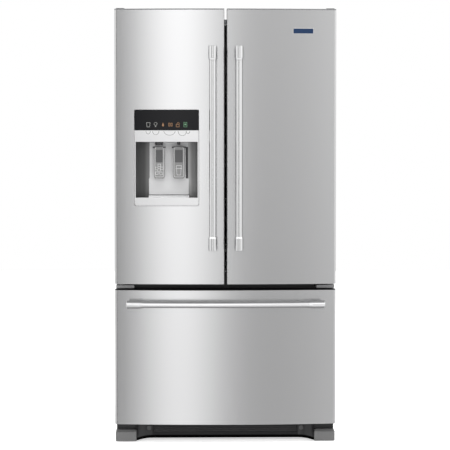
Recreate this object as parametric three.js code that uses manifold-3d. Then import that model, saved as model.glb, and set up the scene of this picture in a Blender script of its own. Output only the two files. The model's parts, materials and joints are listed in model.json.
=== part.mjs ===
// French door refrigerator with a bottom freezer drawer.
// Millimetres, +Z up. The doors face -Y and +X is to the right of a person who
// faces them. The origin is on the floor, at the middle of the overall width
// and depth. Every piece is modelled where it sits with all doors closed.

import * as THREE from 'three';
import Module from 'manifold-3d';
import { mergeVertices } from 'three/addons/utils/BufferGeometryUtils.js';

const wasm = await Module();
wasm.setup();

// ------------------------------------------------------------ driving dimensions

const WIDTH = 905; // across the doors
const DEPTH = 905; // handle fronts to the rear cover
const HEIGHT = 1777.5; // floor to the top of the hinge arms
const FIT = 0.3; // gap between pieces that touch

const HALF_WIDTH = WIDTH / 2;
const HANDLE_FRONT = -DEPTH / 2;
const REAR = DEPTH / 2;

// The door and drawer fronts share one crowned arc across the whole width.
const HANDLE_REACH = 64; // handle front to the middle of the crown
const CROWN_BULGE = 25;
const CROWN_FRONT = HANDLE_FRONT + HANDLE_REACH;
const CROWN_RADIUS = (HALF_WIDTH ** 2 + CROWN_BULGE ** 2) / (2 * CROWN_BULGE);
const CROWN_CENTRE = CROWN_FRONT + CROWN_RADIUS;

// Cabinet
const CABINET_HALF = 448.5;
const CABINET_FRONT = -284.5;
const CABINET_REAR = 445;
const CABINET_TOP = 1736;
const CABINET_BOTTOM = 44;
const SHEET = 3;
const LINER_WALL = 4;
const LINER_HALF = 416;
const ROOM_HALF = LINER_HALF - LINER_WALL;
const FRESH_Z = [696, 1716];
const FRESH_REAR = 374;
const FREEZER_Z = [101, 616];
const FREEZER_REAR = 154;
const MACHINE_TOP = 335;

// Doors and drawer front
const CENTRE_GAP = 10.5;
const DOOR_Z = [652, 1773.5];
const DRAWER_Z = [76, 629];
const SKIN = 2.5;
const SKIN_REAR = -300;
const PANEL_REAR = -296.5;
const EDGE_RADIUS = 8;
const GAP_EDGE_RADIUS = 5;
const GASKET_Y = [PANEL_REAR + FIT, CABINET_FRONT - FIT];
const GASKET_WIDTH = 11;
const GASKET_OUTER = 427;
const GASKET_INNER = 14;
const DYKE_X = [42, 405];
const DYKE_Z = [712, 1700];
const DYKE_WIDTH = 20;
const DYKE_REAR = -272;

// Door hinges
const PIN_X = 428.5;
const PIN_Y = -330;
const PIN_RADIUS = 5;
const PIN_BORE = 6.5;
const PIN_LENGTH = 20;
const ARM_THICKNESS = 3.5;

// Handles
const BAR_RADIUS = 14;
const END_RADIUS = 17;
const END_LENGTH = 58;
const END_CONE = 7;
const POST_RADIUS = 11;
const DOOR_HANDLE_X = 53;
const DOOR_HANDLE_Z = [793, 1620];
const DRAWER_HANDLE_HALF = 400;
const DRAWER_HANDLE_Z = 573;
const DRAWER_BAR_RADIUS = 12.5;
const DRAWER_END_RADIUS = 15.5;
const DRAWER_END_LENGTH = 63;
const DRAWER_HANDLE_STANDOFF = 51;

// Dispenser
const DISPENSER_X = [-371, -109];
const DISPENSER_Z = [973, 1363];
const CONTROL_Z = 1280;
const RECESS_Z = [1006, 1233];
const RECESS_REAR = -316;
const PADDLE_Z = [1083, 1216];
const PADDLE_Y = [-340, -335];
const PADDLE_PIN = [-337.5, 1211];
const ICE_PADDLE_X = [-292, -249];
const WATER_PADDLE_X = [-214, -167];

// Pieces inside the doors
const BIN_X = [62.5, 384.5];
const BIN_FRONT = PANEL_REAR + FIT;
const MULLION_X = -32;
const MULLION_Y = -277;
const MULLION_HALF = 7;
const MULLION_REACH = 65;
const MULLION_Z = [710, 1700];

// Interior drawers and shelves
const DRAWER_FRONT_Y = -125;
const CRISPER_Z = [799.5, 978];
const PANTRY_Z = [700.5, 788];
const SHELF_Z = 1432;
const TUB_WALL = 4;

// Undercarriage
const LEG_X = 407;
const LEG_Y = -262;
const ROLLER_X = 400;
const ROLLER_Y = 390;
const ROLLER_RADIUS = 20;

// ------------------------------------------------------------ materials

function finish(color, roughness, metalness, opacity = 1) {
  return new THREE.MeshStandardMaterial({
    color, roughness, metalness, opacity, transparent: opacity < 1,
  });
}

const stainless = finish('#b9babb', 0.34, 1);
const polished = finish('#d6d7d8', 0.22, 1);
const greyPaint = finish('#77797b', 0.5, 0.2);
const zinc = finish('#a8abae', 0.4, 0.9);
const whitePlastic = finish('#eceded', 0.4, 0);
const greyPlastic = finish('#9fa1a3', 0.45, 0);
const blackPlastic = finish('#17181a', 0.5, 0);
const blackGlass = finish('#0b0c0e', 0.08, 0);
const rubber = finish('#5c5e60', 0.7, 0);
const clear = finish('#dfe9ec', 0.1, 0, 0.45);
const blackPaint = finish('#1c1d1f', 0.35, 0.2);

// ------------------------------------------------------------ solid tools

function toSolid(geometry) {
  const bare = geometry.clone();
  bare.deleteAttribute('normal');
  bare.deleteAttribute('uv');
  const merged = mergeVertices(bare, 1e-4);
  return new wasm.Manifold(new wasm.Mesh({
    numProp: 3,
    vertProperties: new Float32Array(merged.attributes.position.array),
    triVerts: new Uint32Array(merged.index.array),
  }));
}

function toGeometry(solid) {
  const mesh = solid.getMesh();
  const geometry = new THREE.BufferGeometry();
  geometry.setAttribute('position', new THREE.BufferAttribute(mesh.vertProperties, 3));
  geometry.setIndex(new THREE.BufferAttribute(mesh.triVerts, 1));
  geometry.computeVertexNormals();
  return geometry;
}

function join(...solids) {
  return solids.reduce((whole, solid) => whole.add(solid));
}

function cut(solid, ...tools) {
  return tools.reduce((whole, tool) => whole.subtract(tool), solid);
}

function block([x0, x1], [y0, y1], [z0, z1]) {
  const geometry = new THREE.BoxGeometry(x1 - x0, y1 - y0, z1 - z0);
  geometry.translate((x0 + x1) / 2, (y0 + y1) / 2, (z0 + z1) / 2);
  return toSolid(geometry);
}

// A round rod between two points.
function rod(radius, from, to, sides = 16) {
  const start = new THREE.Vector3(...from);
  const end = new THREE.Vector3(...to);
  const along = end.clone().sub(start);
  const geometry = new THREE.CylinderGeometry(radius, radius, along.length(), sides);
  const up = new THREE.Vector3(0, 1, 0);
  geometry.applyQuaternion(new THREE.Quaternion().setFromUnitVectors(up, along.normalize()));
  const middle = start.add(end).multiplyScalar(0.5);
  geometry.translate(middle.x, middle.y, middle.z);
  return toSolid(geometry);
}

// A turned piece: profile points are [radius, distance along the axis].
function turned(profile, base, direction, sides = 20) {
  const points = profile.map(([radius, along]) => new THREE.Vector2(radius, along));
  const geometry = new THREE.LatheGeometry(points, sides);
  const up = new THREE.Vector3(0, 1, 0);
  const axis = new THREE.Vector3(...direction).normalize();
  geometry.applyQuaternion(new THREE.Quaternion().setFromUnitVectors(up, axis));
  geometry.translate(...base);
  return toSolid(geometry);
}

// Outline points, without the doubled ones where an arc meets a line.
function tidyOutline(outline, divisions) {
  const points = outline.getPoints(divisions);
  const apart = (point, index) => point.distanceTo(points[(index + 1) % points.length]) > 1e-3;
  return new THREE.Shape(points.filter(apart));
}

function extrudeUp(outline, [z0, z1], divisions = 3) {
  const options = { depth: z1 - z0, bevelEnabled: false };
  const geometry = new THREE.ExtrudeGeometry(tidyOutline(outline, divisions), options);
  geometry.translate(0, 0, z0);
  return toSolid(geometry);
}

// Extrude a (y, z) outline along X.
function extrudeAcross(points, [x0, x1]) {
  const outline = new THREE.Shape(points.map(([y, z]) => new THREE.Vector2(y, z)));
  const geometry = new THREE.ExtrudeGeometry(outline, { depth: x1 - x0, bevelEnabled: false });
  const [x, y, z] = [[1, 0, 0], [0, 1, 0], [0, 0, 1]].map((axis) => new THREE.Vector3(...axis));
  geometry.applyMatrix4(new THREE.Matrix4().makeBasis(y, z, x));
  geometry.translate(x0, 0, 0);
  return toSolid(geometry);
}

// Mirror a range to the left (-1) or keep it on the right (+1).
function onSide(side, [a, b]) {
  return side > 0 ? [a, b] : [-b, -a];
}

function shrink([a, b], by) {
  return [a + by, b - by];
}

function ring(x, y, z, width) {
  return cut(block(x, y, z), block(shrink(x, width), shrink(y, -1), shrink(z, width)));
}

// An open box. `open` names the side that has no wall.
function tub(x, y, z, wall, open) {
  const inner = { x: shrink(x, wall), y: shrink(y, wall), z: shrink(z, wall) };
  const end = open[0] === '+' ? 1 : 0;
  inner[open[1]][end] += (end ? 2 : -2) * wall;
  return cut(block(x, y, z), block(inner.x, inner.y, inner.z));
}

// ------------------------------------------------------------ crowned fronts

function crownY(x, inset = 0) {
  return CROWN_CENTRE - Math.sqrt((CROWN_RADIUS - inset) ** 2 - x ** 2);
}

// A slab whose front follows the crown, `inset` behind it, with rounded front corners.
function crownedSlab([x0, x1], inset, rear, z, [r0, r1], divisions = 3) {
  const radius = CROWN_RADIUS - inset;
  const angle = (x) => Math.asin(x / radius) - Math.PI / 2;
  const [a, b] = [x0 + r0, x1 - r1];
  const outline = new THREE.Shape();
  outline.moveTo(x0, rear);
  outline.lineTo(x0, crownY(a, inset) + r0);
  outline.absarc(a, crownY(a, inset) + r0, r0, Math.PI, 1.5 * Math.PI, false);
  outline.absarc(0, CROWN_CENTRE, radius, angle(a), angle(b), false);
  outline.absarc(b, crownY(b, inset) + r1, r1, -0.5 * Math.PI, 0, false);
  outline.lineTo(x1, rear);
  return extrudeUp(outline, z, divisions);
}

// Formed sheet: crowned front with returns on all four sides.
function frontSkin(x, z, radii, divisions) {
  const outer = crownedSlab(x, 0, SKIN_REAR, z, radii, divisions);
  const innerRadii = radii.map((radius) => radius - SKIN);
  const hollow = crownedSlab(shrink(x, SKIN), SKIN, PANEL_REAR, shrink(z, SKIN), innerRadii, divisions);
  return cut(outer, hollow);
}

// Foamed inner panel that fills the skin, with a flange behind its returns.
function frontPanel(x, z, radii, divisions) {
  const depth = SKIN + FIT;
  const innerRadii = radii.map((radius) => radius - depth);
  const core = crownedSlab(shrink(x, depth), depth, SKIN_REAR + 1, shrink(z, depth), innerRadii, divisions);
  return join(core, block(shrink(x, 1), [SKIN_REAR + FIT, PANEL_REAR], shrink(z, 1)));
}

// ------------------------------------------------------------ cabinet

function cabinetWrapper() {
  const outer = block([-CABINET_HALF, CABINET_HALF], [CABINET_FRONT, CABINET_REAR], [CABINET_BOTTOM, CABINET_TOP]);
  const insideX = [-CABINET_HALF + SHEET, CABINET_HALF - SHEET];
  const inside = block(insideX, [CABINET_FRONT - 1, CABINET_REAR + 1], [CABINET_BOTTOM - 1, CABINET_TOP - SHEET]);
  const faceX = [-CABINET_HALF + 1, CABINET_HALF - 1];
  const face = block(faceX, [CABINET_FRONT, CABINET_FRONT + SHEET], [84, CABINET_TOP - 1]);
  const openingX = [-LINER_HALF - FIT, LINER_HALF + FIT];
  const opening = block(openingX, [CABINET_FRONT - 1, 0], [FREEZER_Z[0] - FIT, FRESH_Z[1] + FIT]);
  return join(cut(outer, inside), cut(face, opening));
}

function centreRail() {
  const z = [FREEZER_Z[1] + FIT, FRESH_Z[0] - FIT];
  return block([-LINER_HALF, LINER_HALF], [CABINET_FRONT, -240], z);
}

function freshFoodLiner() {
  return tub([-LINER_HALF, LINER_HALF], [CABINET_FRONT, FRESH_REAR], FRESH_Z, LINER_WALL, '-y');
}

// The ledges carry the upper freezer basket.
function freezerLiner() {
  const shell = tub([-LINER_HALF, LINER_HALF], [CABINET_FRONT, FREEZER_REAR], FREEZER_Z, LINER_WALL, '-y');
  const ledge = (side) => block(onSide(side, [399, ROOM_HALF + 1]), [-270, 140], [500, 508]);
  return join(shell, ledge(-1), ledge(1));
}

function machineCover() {
  const plate = block([-440, 440], [CABINET_REAR + FIT, REAR], [60, MACHINE_TOP - FIT]);
  const slots = [-1, 1].flatMap((side) => [100, 125, 150, 175, 200].map((z) => (
    block(onSide(side, [150, 390]), [CABINET_REAR - 5, REAR + 5], [z, z + 8])
  )));
  return cut(plate, ...slots);
}

function rearPanel() {
  return block([-445, 445], [CABINET_REAR + FIT, CABINET_REAR + 2.3], [MACHINE_TOP, CABINET_TOP - 4]);
}

function baseFrame() {
  const half = CABINET_HALF - SHEET - FIT;
  const pan = block([-half, half], [-281, 440], [CABINET_BOTTOM, 48]);
  const beam = block([-half, half], [-281, -250 + 10], [CABINET_BOTTOM, 83.7]);
  const pieces = [-1, 1].flatMap((side) => [
    block(onSide(side, [420, half]), [-250, 440], [CABINET_BOTTOM, 100]),
    block(onSide(side, [382, 387]), [ROLLER_Y - 14, ROLLER_Y + 14], [9, 46]),
    block(onSide(side, [413, 418]), [ROLLER_Y - 14, ROLLER_Y + 14], [9, 46]),
  ]);
  const axle = rod(4.8, [-430, ROLLER_Y, ROLLER_RADIUS], [430, ROLLER_Y, ROLLER_RADIUS]);
  const legBore = (side) => rod(7, [side * LEG_X, LEG_Y, 30], [side * LEG_X, LEG_Y, 90]);
  return cut(join(pan, beam, ...pieces), axle, legBore(-1), legBore(1));
}

function levellingLeg(side) {
  const profile = [[0, 0], [16, 0], [16, 6], [9, 9], [6, 9], [6, 76], [0, 76]];
  return turned(profile, [side * LEG_X, LEG_Y, 0], [0, 0, 1], 16);
}

function rearRoller(side) {
  const half = 11;
  const axle = 17;
  const r = ROLLER_RADIUS;
  const profile = [
    [0, -axle], [4, -axle], [4, -half], [r - 2, -half], [r, -half + 2],
    [r, half - 2], [r - 2, half], [4, half], [4, axle], [0, axle],
  ];
  return turned(profile, [side * ROLLER_X, ROLLER_Y, r], [1, 0, 0], 24);
}

function baseGrille() {
  const plate = block([-303, 303], [-300, -292], [15, 74]);
  const slots = [24, 38, 52].map((z) => block([-290, 290], [-310, -280], [z, z + 8]));
  const stubs = [-1, 1].map((side) => block(onSide(side, [250, 270]), [-293, -281 - FIT], [64, 74]));
  return join(cut(plate, ...slots), ...stubs);
}

function footCover(side) {
  const outer = extrudeAcross([[-350, 3], [-285, 3], [-285, 50], [-338, 50], [-350, 40]], [366, 447]);
  const hollow = extrudeAcross([[-347, 0], [-280, 0], [-280, 47], [-336.8, 47], [-347, 38.8]], [369, 444]);
  const right = cut(outer, hollow);
  return side > 0 ? right : right.mirror([1, 0, 0]);
}

function topHinge(side) {
  const cover = block(onSide(side, [385, 446]), [-283, -170], [CABINET_TOP + FIT, HEIGHT]);
  const arm = block(onSide(side, [412, 446]), [PIN_Y - 15, -280], [HEIGHT - ARM_THICKNESS, HEIGHT]);
  const top = HEIGHT - ARM_THICKNESS + 1;
  const pin = rod(PIN_RADIUS, [side * PIN_X, PIN_Y, top], [side * PIN_X, PIN_Y, top - PIN_LENGTH]);
  return join(cover, arm, pin);
}

function centreHinge(side) {
  const z = [634, 646];
  const bracket = block(onSide(side, [374, 448]), [PIN_Y - 15, CABINET_FRONT - FIT], z);
  const plate = block(onSide(side, [380, 444]), [-288, CABINET_FRONT - FIT], [632, 650]);
  const collar = rod(9, [side * PIN_X, PIN_Y, z[1] - 1], [side * PIN_X, PIN_Y, DOOR_Z[0] - 0.5]);
  const pin = rod(PIN_RADIUS, [side * PIN_X, PIN_Y, z[1] - 1], [side * PIN_X, PIN_Y, DOOR_Z[0] + PIN_LENGTH]);
  return join(bracket, plate, collar, pin);
}

function compressor() {
  const profile = [[0, 0], [52, 0], [70, 14], [74, 60], [74, 80], [66, 130], [40, 150], [0, 156]];
  const body = turned(profile, [-190, 325, 54], [0, 0, 1], 24);
  const feet = block([-285, -95], [265, 385], [48 + FIT, 58]);
  return join(body, feet);
}

function cabinetRail(side) {
  return block(onSide(side, [403, ROOM_HALF - FIT]), [-280, 145], [393, 427]);
}

function middleRail(side) {
  return block(onSide(side, [396, 402.5]), [-280, 140], [397, 423]);
}

// ------------------------------------------------------------ interior fittings

// A glass shelf half on two cantilever arms.
function upperShelf(side) {
  const pane = block(onSide(side, [6, 411]), [-165, 345], [SHELF_Z, SHELF_Z + 8]);
  const lip = block(onSide(side, [6, 411]), [-170, -158], [SHELF_Z - 6, SHELF_Z + 12]);
  const profile = [[-100, SHELF_Z + 1], [-100, SHELF_Z - 6], [345, SHELF_Z - 40], [345, SHELF_Z + 1]];
  const arms = [30, 380].map((x) => extrudeAcross(profile, onSide(side, [x, x + 4])));
  return join(pane, lip, ...arms);
}

// Cover shelf, divider and lower deck that the two crispers run in.
function crisperShelf() {
  const half = ROOM_HALF - 0.5;
  const y = [-118, 360];
  const deck = block([-half, half], y, [793, 799]);
  const divider = block([-4, 4], y, [798, 986]);
  const cover = block([-half, half], y, [984, 990]);
  const trim = block([-half, half], [-124, -117], [980, 994]);
  return join(deck, divider, cover, trim);
}

function crisper(side) {
  return tub(onSide(side, [7, 405]), [DRAWER_FRONT_Y, 330], CRISPER_Z, TUB_WALL, '+z');
}

function pantryDrawer() {
  return tub([-405, 405], [DRAWER_FRONT_Y, 330], PANTRY_Z, TUB_WALL, '+z');
}

// Upper freezer basket with the runners that lie on the liner's ledges.
function freezerBasket() {
  const basket = tub([-370, 370], [-190, 110], [450, 560], TUB_WALL, '+z');
  const runner = (side) => block(onSide(side, [367, 410]), [-190, 110], [508 + FIT, 513]);
  return join(basket, runner(-1), runner(1));
}

// ------------------------------------------------------------ doors

function doorX(side) {
  return onSide(side, [CENTRE_GAP / 2, HALF_WIDTH]);
}

function doorRadii(side) {
  return side > 0 ? [GAP_EDGE_RADIUS, EDGE_RADIUS] : [EDGE_RADIUS, GAP_EDGE_RADIUS];
}

function pinBores(side) {
  const bore = (z0, z1) => rod(PIN_BORE, [side * PIN_X, PIN_Y, z0], [side * PIN_X, PIN_Y, z1]);
  return [bore(DOOR_Z[0] - 5, DOOR_Z[0] + 26), bore(DOOR_Z[1] - 26, DOOR_Z[1] + 5)];
}

function dispenserPocket(slack) {
  return block(shrink(DISPENSER_X, -slack), [-420, RECESS_REAR + 8 + slack], shrink(DISPENSER_Z, -slack));
}

function doorSkin(side) {
  const skin = cut(frontSkin(doorX(side), DOOR_Z, doorRadii(side)), ...pinBores(side));
  return side > 0 ? skin : cut(skin, dispenserPocket(FIT));
}

function doorPanel(side) {
  const dyke = ring(onSide(side, DYKE_X), [PANEL_REAR - 1, DYKE_REAR], DYKE_Z, DYKE_WIDTH);
  const panel = join(frontPanel(doorX(side), DOOR_Z, doorRadii(side)), dyke);
  const bored = cut(panel, ...pinBores(side));
  if (side > 0) {
    return bored;
  }
  const bulge = block([-385, -64], [PANEL_REAR - 1, -262], [950, 1400]);
  const lugs = [[MULLION_Z[0] - 8, MULLION_Z[0] - 1], [MULLION_Z[1] + 1, MULLION_Z[1] + 8]].map((z) => (
    block([MULLION_X - 6, MULLION_X + 6], [PANEL_REAR - 1, MULLION_Y + 6], z)
  ));
  const pins = [
    [MULLION_Z[0] - 4, MULLION_Z[0] + 12],
    [MULLION_Z[1] - 12, MULLION_Z[1] + 4],
  ].map(([z0, z1]) => rod(3, [MULLION_X, MULLION_Y, z0], [MULLION_X, MULLION_Y, z1], 12));
  return join(cut(join(bored, bulge), dispenserPocket(2 * FIT)), ...lugs, ...pins);
}

function doorGasket(side) {
  return ring(onSide(side, [GASKET_INNER, GASKET_OUTER]), GASKET_Y, [668, 1734], GASKET_WIDTH);
}

// Sealing bar between the doors, shown folded back into the cabinet.
function flipMullion() {
  const y = [MULLION_Y - MULLION_HALF, MULLION_Y + MULLION_REACH];
  const bar = block([MULLION_X - MULLION_HALF, MULLION_X + MULLION_HALF], y, MULLION_Z);
  const bore = (z0, z1) => rod(3.6, [MULLION_X, MULLION_Y, z0], [MULLION_X, MULLION_Y, z1], 12);
  return cut(bar, bore(MULLION_Z[0] - 1, MULLION_Z[0] + 13), bore(MULLION_Z[1] - 13, MULLION_Z[1] + 1));
}

// ------------------------------------------------------------ handles

const DOOR_BAR_Y = HANDLE_FRONT + END_RADIUS;

function frontClearance(x, z) {
  return crownedSlab(x, -FIT, SKIN_REAR, z, [0.5, 0.5], 6);
}

function doorHandleBar(side) {
  const x = side * DOOR_HANDLE_X;
  const [z0, z1] = shrink(DOOR_HANDLE_Z, END_LENGTH + FIT);
  return rod(BAR_RADIUS, [x, DOOR_BAR_Y, z0], [x, DOOR_BAR_Y, z1], 24);
}

// End piece and its post; `up` is +1 for the upper end and -1 for the lower one.
function doorHandleEnd(side, up) {
  const x = side * DOOR_HANDLE_X;
  const tip = up > 0 ? DOOR_HANDLE_Z[1] : DOOR_HANDLE_Z[0];
  const profile = [
    [0, 0], [END_RADIUS - 3, 0], [END_RADIUS, 3], [END_RADIUS, END_LENGTH - END_CONE],
    [BAR_RADIUS + 0.5, END_LENGTH], [0, END_LENGTH],
  ];
  const body = turned(profile, [x, DOOR_BAR_Y, tip], [0, 0, -up], 24);
  const z = tip - up * (END_LENGTH / 2);
  const post = rod(POST_RADIUS, [x, DOOR_BAR_Y, z], [x, CROWN_FRONT + 6, z], 20);
  return cut(join(body, post), frontClearance([x - 30, x + 30], [z - 40, z + 40]));
}

// The drawer handle is bowed, parallel to the crown.
class BowedPath extends THREE.Curve {
  constructor(x0, x1) {
    super();
    this.ends = [x0, x1];
  }

  getPoint(t, target = new THREE.Vector3()) {
    const x = THREE.MathUtils.lerp(this.ends[0], this.ends[1], t);
    return target.set(x, crownY(x) - DRAWER_HANDLE_STANDOFF, DRAWER_HANDLE_Z);
  }
}

function bowedTube(radius, x0, x1, steps) {
  const section = new THREE.Shape().absarc(0, 0, radius, 0, 2 * Math.PI, false);
  const outline = tidyOutline(section, 10);
  const extrudePath = new BowedPath(x0, x1);
  return toSolid(new THREE.ExtrudeGeometry(outline, { steps, extrudePath, bevelEnabled: false }));
}

function drawerHandleBar() {
  const half = DRAWER_HANDLE_HALF - DRAWER_END_LENGTH - FIT;
  return bowedTube(DRAWER_BAR_RADIUS, -half, half, 16);
}

function drawerHandleEnd(side) {
  const tip = side * DRAWER_HANDLE_HALF;
  const x = tip - side * (DRAWER_END_LENGTH / 2);
  const root = tip - side * DRAWER_END_LENGTH;
  const [x0, x1] = [Math.min(tip, root), Math.max(tip, root)];
  const body = bowedTube(DRAWER_END_RADIUS, x0, x1, 2);
  const y = crownY(x);
  const z = DRAWER_HANDLE_Z;
  const post = rod(POST_RADIUS - 1, [x, y - DRAWER_HANDLE_STANDOFF, z], [x, y + 6, z], 20);
  return cut(join(body, post), frontClearance([x - 30, x + 30], [z - 40, z + 40]));
}

// ------------------------------------------------------------ dispenser

function controlPanel() {
  return crownedSlab(DISPENSER_X, -1, -366, [CONTROL_Z, DISPENSER_Z[1]], [2, 2]);
}

function dispenserHousing() {
  const z = [DISPENSER_Z[0], CONTROL_Z - FIT];
  const body = crownedSlab(DISPENSER_X, -1, RECESS_REAR + 8, z, [2, 2]);
  const [left, right] = shrink(DISPENSER_X, 8);
  const recess = new THREE.Shape([
    [left, -395], [right, -395], [right, -384], [-153, RECESS_REAR], [-309, RECESS_REAR], [left, -370],
  ].map(([x, y]) => new THREE.Vector2(x, y)));
  const lugs = [ICE_PADDLE_X, WATER_PADDLE_X].flatMap(([x0, x1]) => [
    block([x0 - 6, x0 - 1], [-343, -314], [1203, RECESS_Z[1] + 1]),
    block([x1 + 1, x1 + 6], [-343, -314], [1203, RECESS_Z[1] + 1]),
  ]);
  const bore = rod(3.6, [-330, ...PADDLE_PIN], [-140, ...PADDLE_PIN], 12);
  return cut(join(cut(body, extrudeUp(recess, RECESS_Z)), ...lugs), bore);
}

function paddle([x0, x1]) {
  const plate = block([x0, x1], PADDLE_Y, PADDLE_Z);
  const pin = rod(3, [x0 - 5, ...PADDLE_PIN], [x1 + 5, ...PADDLE_PIN], 12);
  return join(plate, pin);
}

// ------------------------------------------------------------ door fittings

function iceHousing() {
  return tub(onSide(-1, BIN_X), [BIN_FRONT, -205], [1420, 1679], 5, '+y');
}

// Mould tray with its drive box at one end.
function iceMaker() {
  const tray = block([-345, -130], [-287, -220], [1590, 1640]);
  const cups = [0, 1, 2, 3, 4, 5].map((index) => {
    const x = -338 + index * 34;
    return block([x, x + 28], [-280, -227], [1600, 1645]);
  });
  const drive = block([-131, -75], [-290, -215], [1580, 1665]);
  return join(cut(tray, ...cups), drive);
}

function doorBin(z) {
  return tub(BIN_X, [BIN_FRONT, -195], z, TUB_WALL, '+z');
}

const DAIRY_Z = [1568, 1679];
const DAIRY_PIN = [-204, 1671];

function dairyBin() {
  const bin = tub(BIN_X, [BIN_FRONT, -200], DAIRY_Z, TUB_WALL, '+y');
  return cut(bin, rod(3, [BIN_X[0] - 5, ...DAIRY_PIN], [BIN_X[1] + 5, ...DAIRY_PIN], 12));
}

function dairyLid() {
  const plate = block(shrink(BIN_X, 5), [-206, -202.5], [1574, 1673.5]);
  const pin = rod(2.5, [BIN_X[0] + 1, ...DAIRY_PIN], [BIN_X[1] - 1, ...DAIRY_PIN], 12);
  return join(plate, pin);
}

// ------------------------------------------------------------ freezer drawer

const DRAWER_X = [-HALF_WIDTH, HALF_WIDTH];
const DRAWER_RADII = [EDGE_RADIUS, EDGE_RADIUS];

function drawerGasket() {
  return ring([-GASKET_OUTER, GASKET_OUTER], GASKET_Y, [87, 627], GASKET_WIDTH);
}

// Deep bin with the sliding rails that carry it.
function drawerBasket() {
  const bin = tub([-370, 370], [-290, 110], [130, 400], TUB_WALL, '+z');
  const sides = [-1, 1].flatMap((side) => [
    block(onSide(side, [367, 389]), [-290, 110], [394, 400]),
    block(onSide(side, [388, 395.5]), [PANEL_REAR + FIT, 130], [395, 425]),
  ]);
  return join(bin, ...sides);
}

// ------------------------------------------------------------ assembly

function group(pieces) {
  const parts = new THREE.Group();
  for (const [name, solid, material] of pieces) {
    const mesh = new THREE.Mesh(toGeometry(solid), material);
    mesh.name = name;
    parts.add(mesh);
  }
  return parts;
}

function pair(name, make, material) {
  return [[-1, 'left'], [1, 'right']].map(([side, word]) => [`${name}_${word}`, make(side), material]);
}

const cabinet = group([
  ['cabinet_wrapper', cabinetWrapper(), greyPaint],
  ['centre_rail', centreRail(), blackPaint],
  ['rear_panel', rearPanel(), zinc],
  ['machine_cover', machineCover(), blackPlastic],
  ['fresh_food_liner', freshFoodLiner(), whitePlastic],
  ['freezer_liner', freezerLiner(), whitePlastic],
  ['crisper_shelf', crisperShelf(), clear],
  ['base_frame', baseFrame(), zinc],
  ['base_grille', baseGrille(), blackPlastic],
  ['compressor', compressor(), blackPaint],
  ['pantry_drawer', pantryDrawer(), clear],
  ['freezer_basket', freezerBasket(), clear],
  ...pair('shelf_upper', upperShelf, clear),
  ...pair('crisper', crisper, clear),
  ...pair('foot_cover', footCover, greyPlastic),
  ...pair('top_hinge', topHinge, greyPaint),
  ...pair('centre_hinge', centreHinge, greyPaint),
  ...pair('cabinet_rail', cabinetRail, zinc),
  ...pair('middle_rail', middleRail, zinc),
  ...pair('levelling_leg', levellingLeg, zinc),
  ...pair('rear_roller', rearRoller, blackPlastic),
]);

const doors = group([
  ...pair('door_skin', doorSkin, stainless),
  ...pair('door_panel', doorPanel, whitePlastic),
  ...pair('door_gasket', doorGasket, rubber),
  ...pair('handle_bar', doorHandleBar, polished),
  ...pair('handle_end_upper', (side) => doorHandleEnd(side, 1), polished),
  ...pair('handle_end_lower', (side) => doorHandleEnd(side, -1), polished),
  ['flip_mullion', flipMullion(), blackPlastic],
  ['control_panel', controlPanel(), blackGlass],
  ['dispenser_housing', dispenserHousing(), greyPlastic],
  ['ice_paddle', paddle(ICE_PADDLE_X), greyPlastic],
  ['water_paddle', paddle(WATER_PADDLE_X), greyPlastic],
  ['ice_housing', iceHousing(), whitePlastic],
  ['ice_maker', iceMaker(), greyPlastic],
  ['dairy_bin', dairyBin(), clear],
  ['dairy_lid', dairyLid(), clear],
  ['door_bin_middle', doorBin([1250, 1340]), clear],
  ['door_bin_lower', doorBin([1000, 1100]), clear],
]);

const freezerDrawer = group([
  ['drawer_skin', frontSkin(DRAWER_X, DRAWER_Z, DRAWER_RADII, 6), stainless],
  ['drawer_panel', frontPanel(DRAWER_X, DRAWER_Z, DRAWER_RADII, 6), whitePlastic],
  ['drawer_gasket', drawerGasket(), rubber],
  ['drawer_handle_bar', drawerHandleBar(), polished],
  ...pair('drawer_handle_end', drawerHandleEnd, polished),
  ['drawer_basket', drawerBasket(), clear],
]);

const refrigerator = new THREE.Group();
refrigerator.add(cabinet, doors, freezerDrawer);

export default refrigerator;
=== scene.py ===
"""The looks of a french door refrigerator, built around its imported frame. Metres, +Z up, doors face -Y."""

import json
import math

import bmesh
import bpy
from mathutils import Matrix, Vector

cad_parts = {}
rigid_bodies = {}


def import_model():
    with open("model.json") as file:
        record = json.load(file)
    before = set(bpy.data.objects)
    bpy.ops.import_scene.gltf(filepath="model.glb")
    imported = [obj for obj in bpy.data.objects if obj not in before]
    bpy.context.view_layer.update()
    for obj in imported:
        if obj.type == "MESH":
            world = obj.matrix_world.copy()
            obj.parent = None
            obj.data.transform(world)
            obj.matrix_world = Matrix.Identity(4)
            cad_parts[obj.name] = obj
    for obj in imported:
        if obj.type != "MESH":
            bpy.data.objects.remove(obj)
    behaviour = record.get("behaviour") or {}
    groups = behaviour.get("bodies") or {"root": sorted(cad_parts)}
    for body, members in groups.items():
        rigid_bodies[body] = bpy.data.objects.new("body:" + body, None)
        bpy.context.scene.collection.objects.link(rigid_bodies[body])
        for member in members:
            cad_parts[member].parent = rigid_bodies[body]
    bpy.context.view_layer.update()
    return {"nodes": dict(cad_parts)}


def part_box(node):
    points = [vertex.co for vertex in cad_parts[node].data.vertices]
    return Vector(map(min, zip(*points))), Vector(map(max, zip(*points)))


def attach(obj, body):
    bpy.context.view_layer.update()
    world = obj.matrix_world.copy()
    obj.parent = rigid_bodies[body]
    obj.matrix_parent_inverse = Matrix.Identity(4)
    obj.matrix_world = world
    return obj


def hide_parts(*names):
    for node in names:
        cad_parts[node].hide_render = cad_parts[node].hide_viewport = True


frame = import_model()

MM = 0.001

# ------------------------------------------------------------------ sizes from the frame

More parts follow.
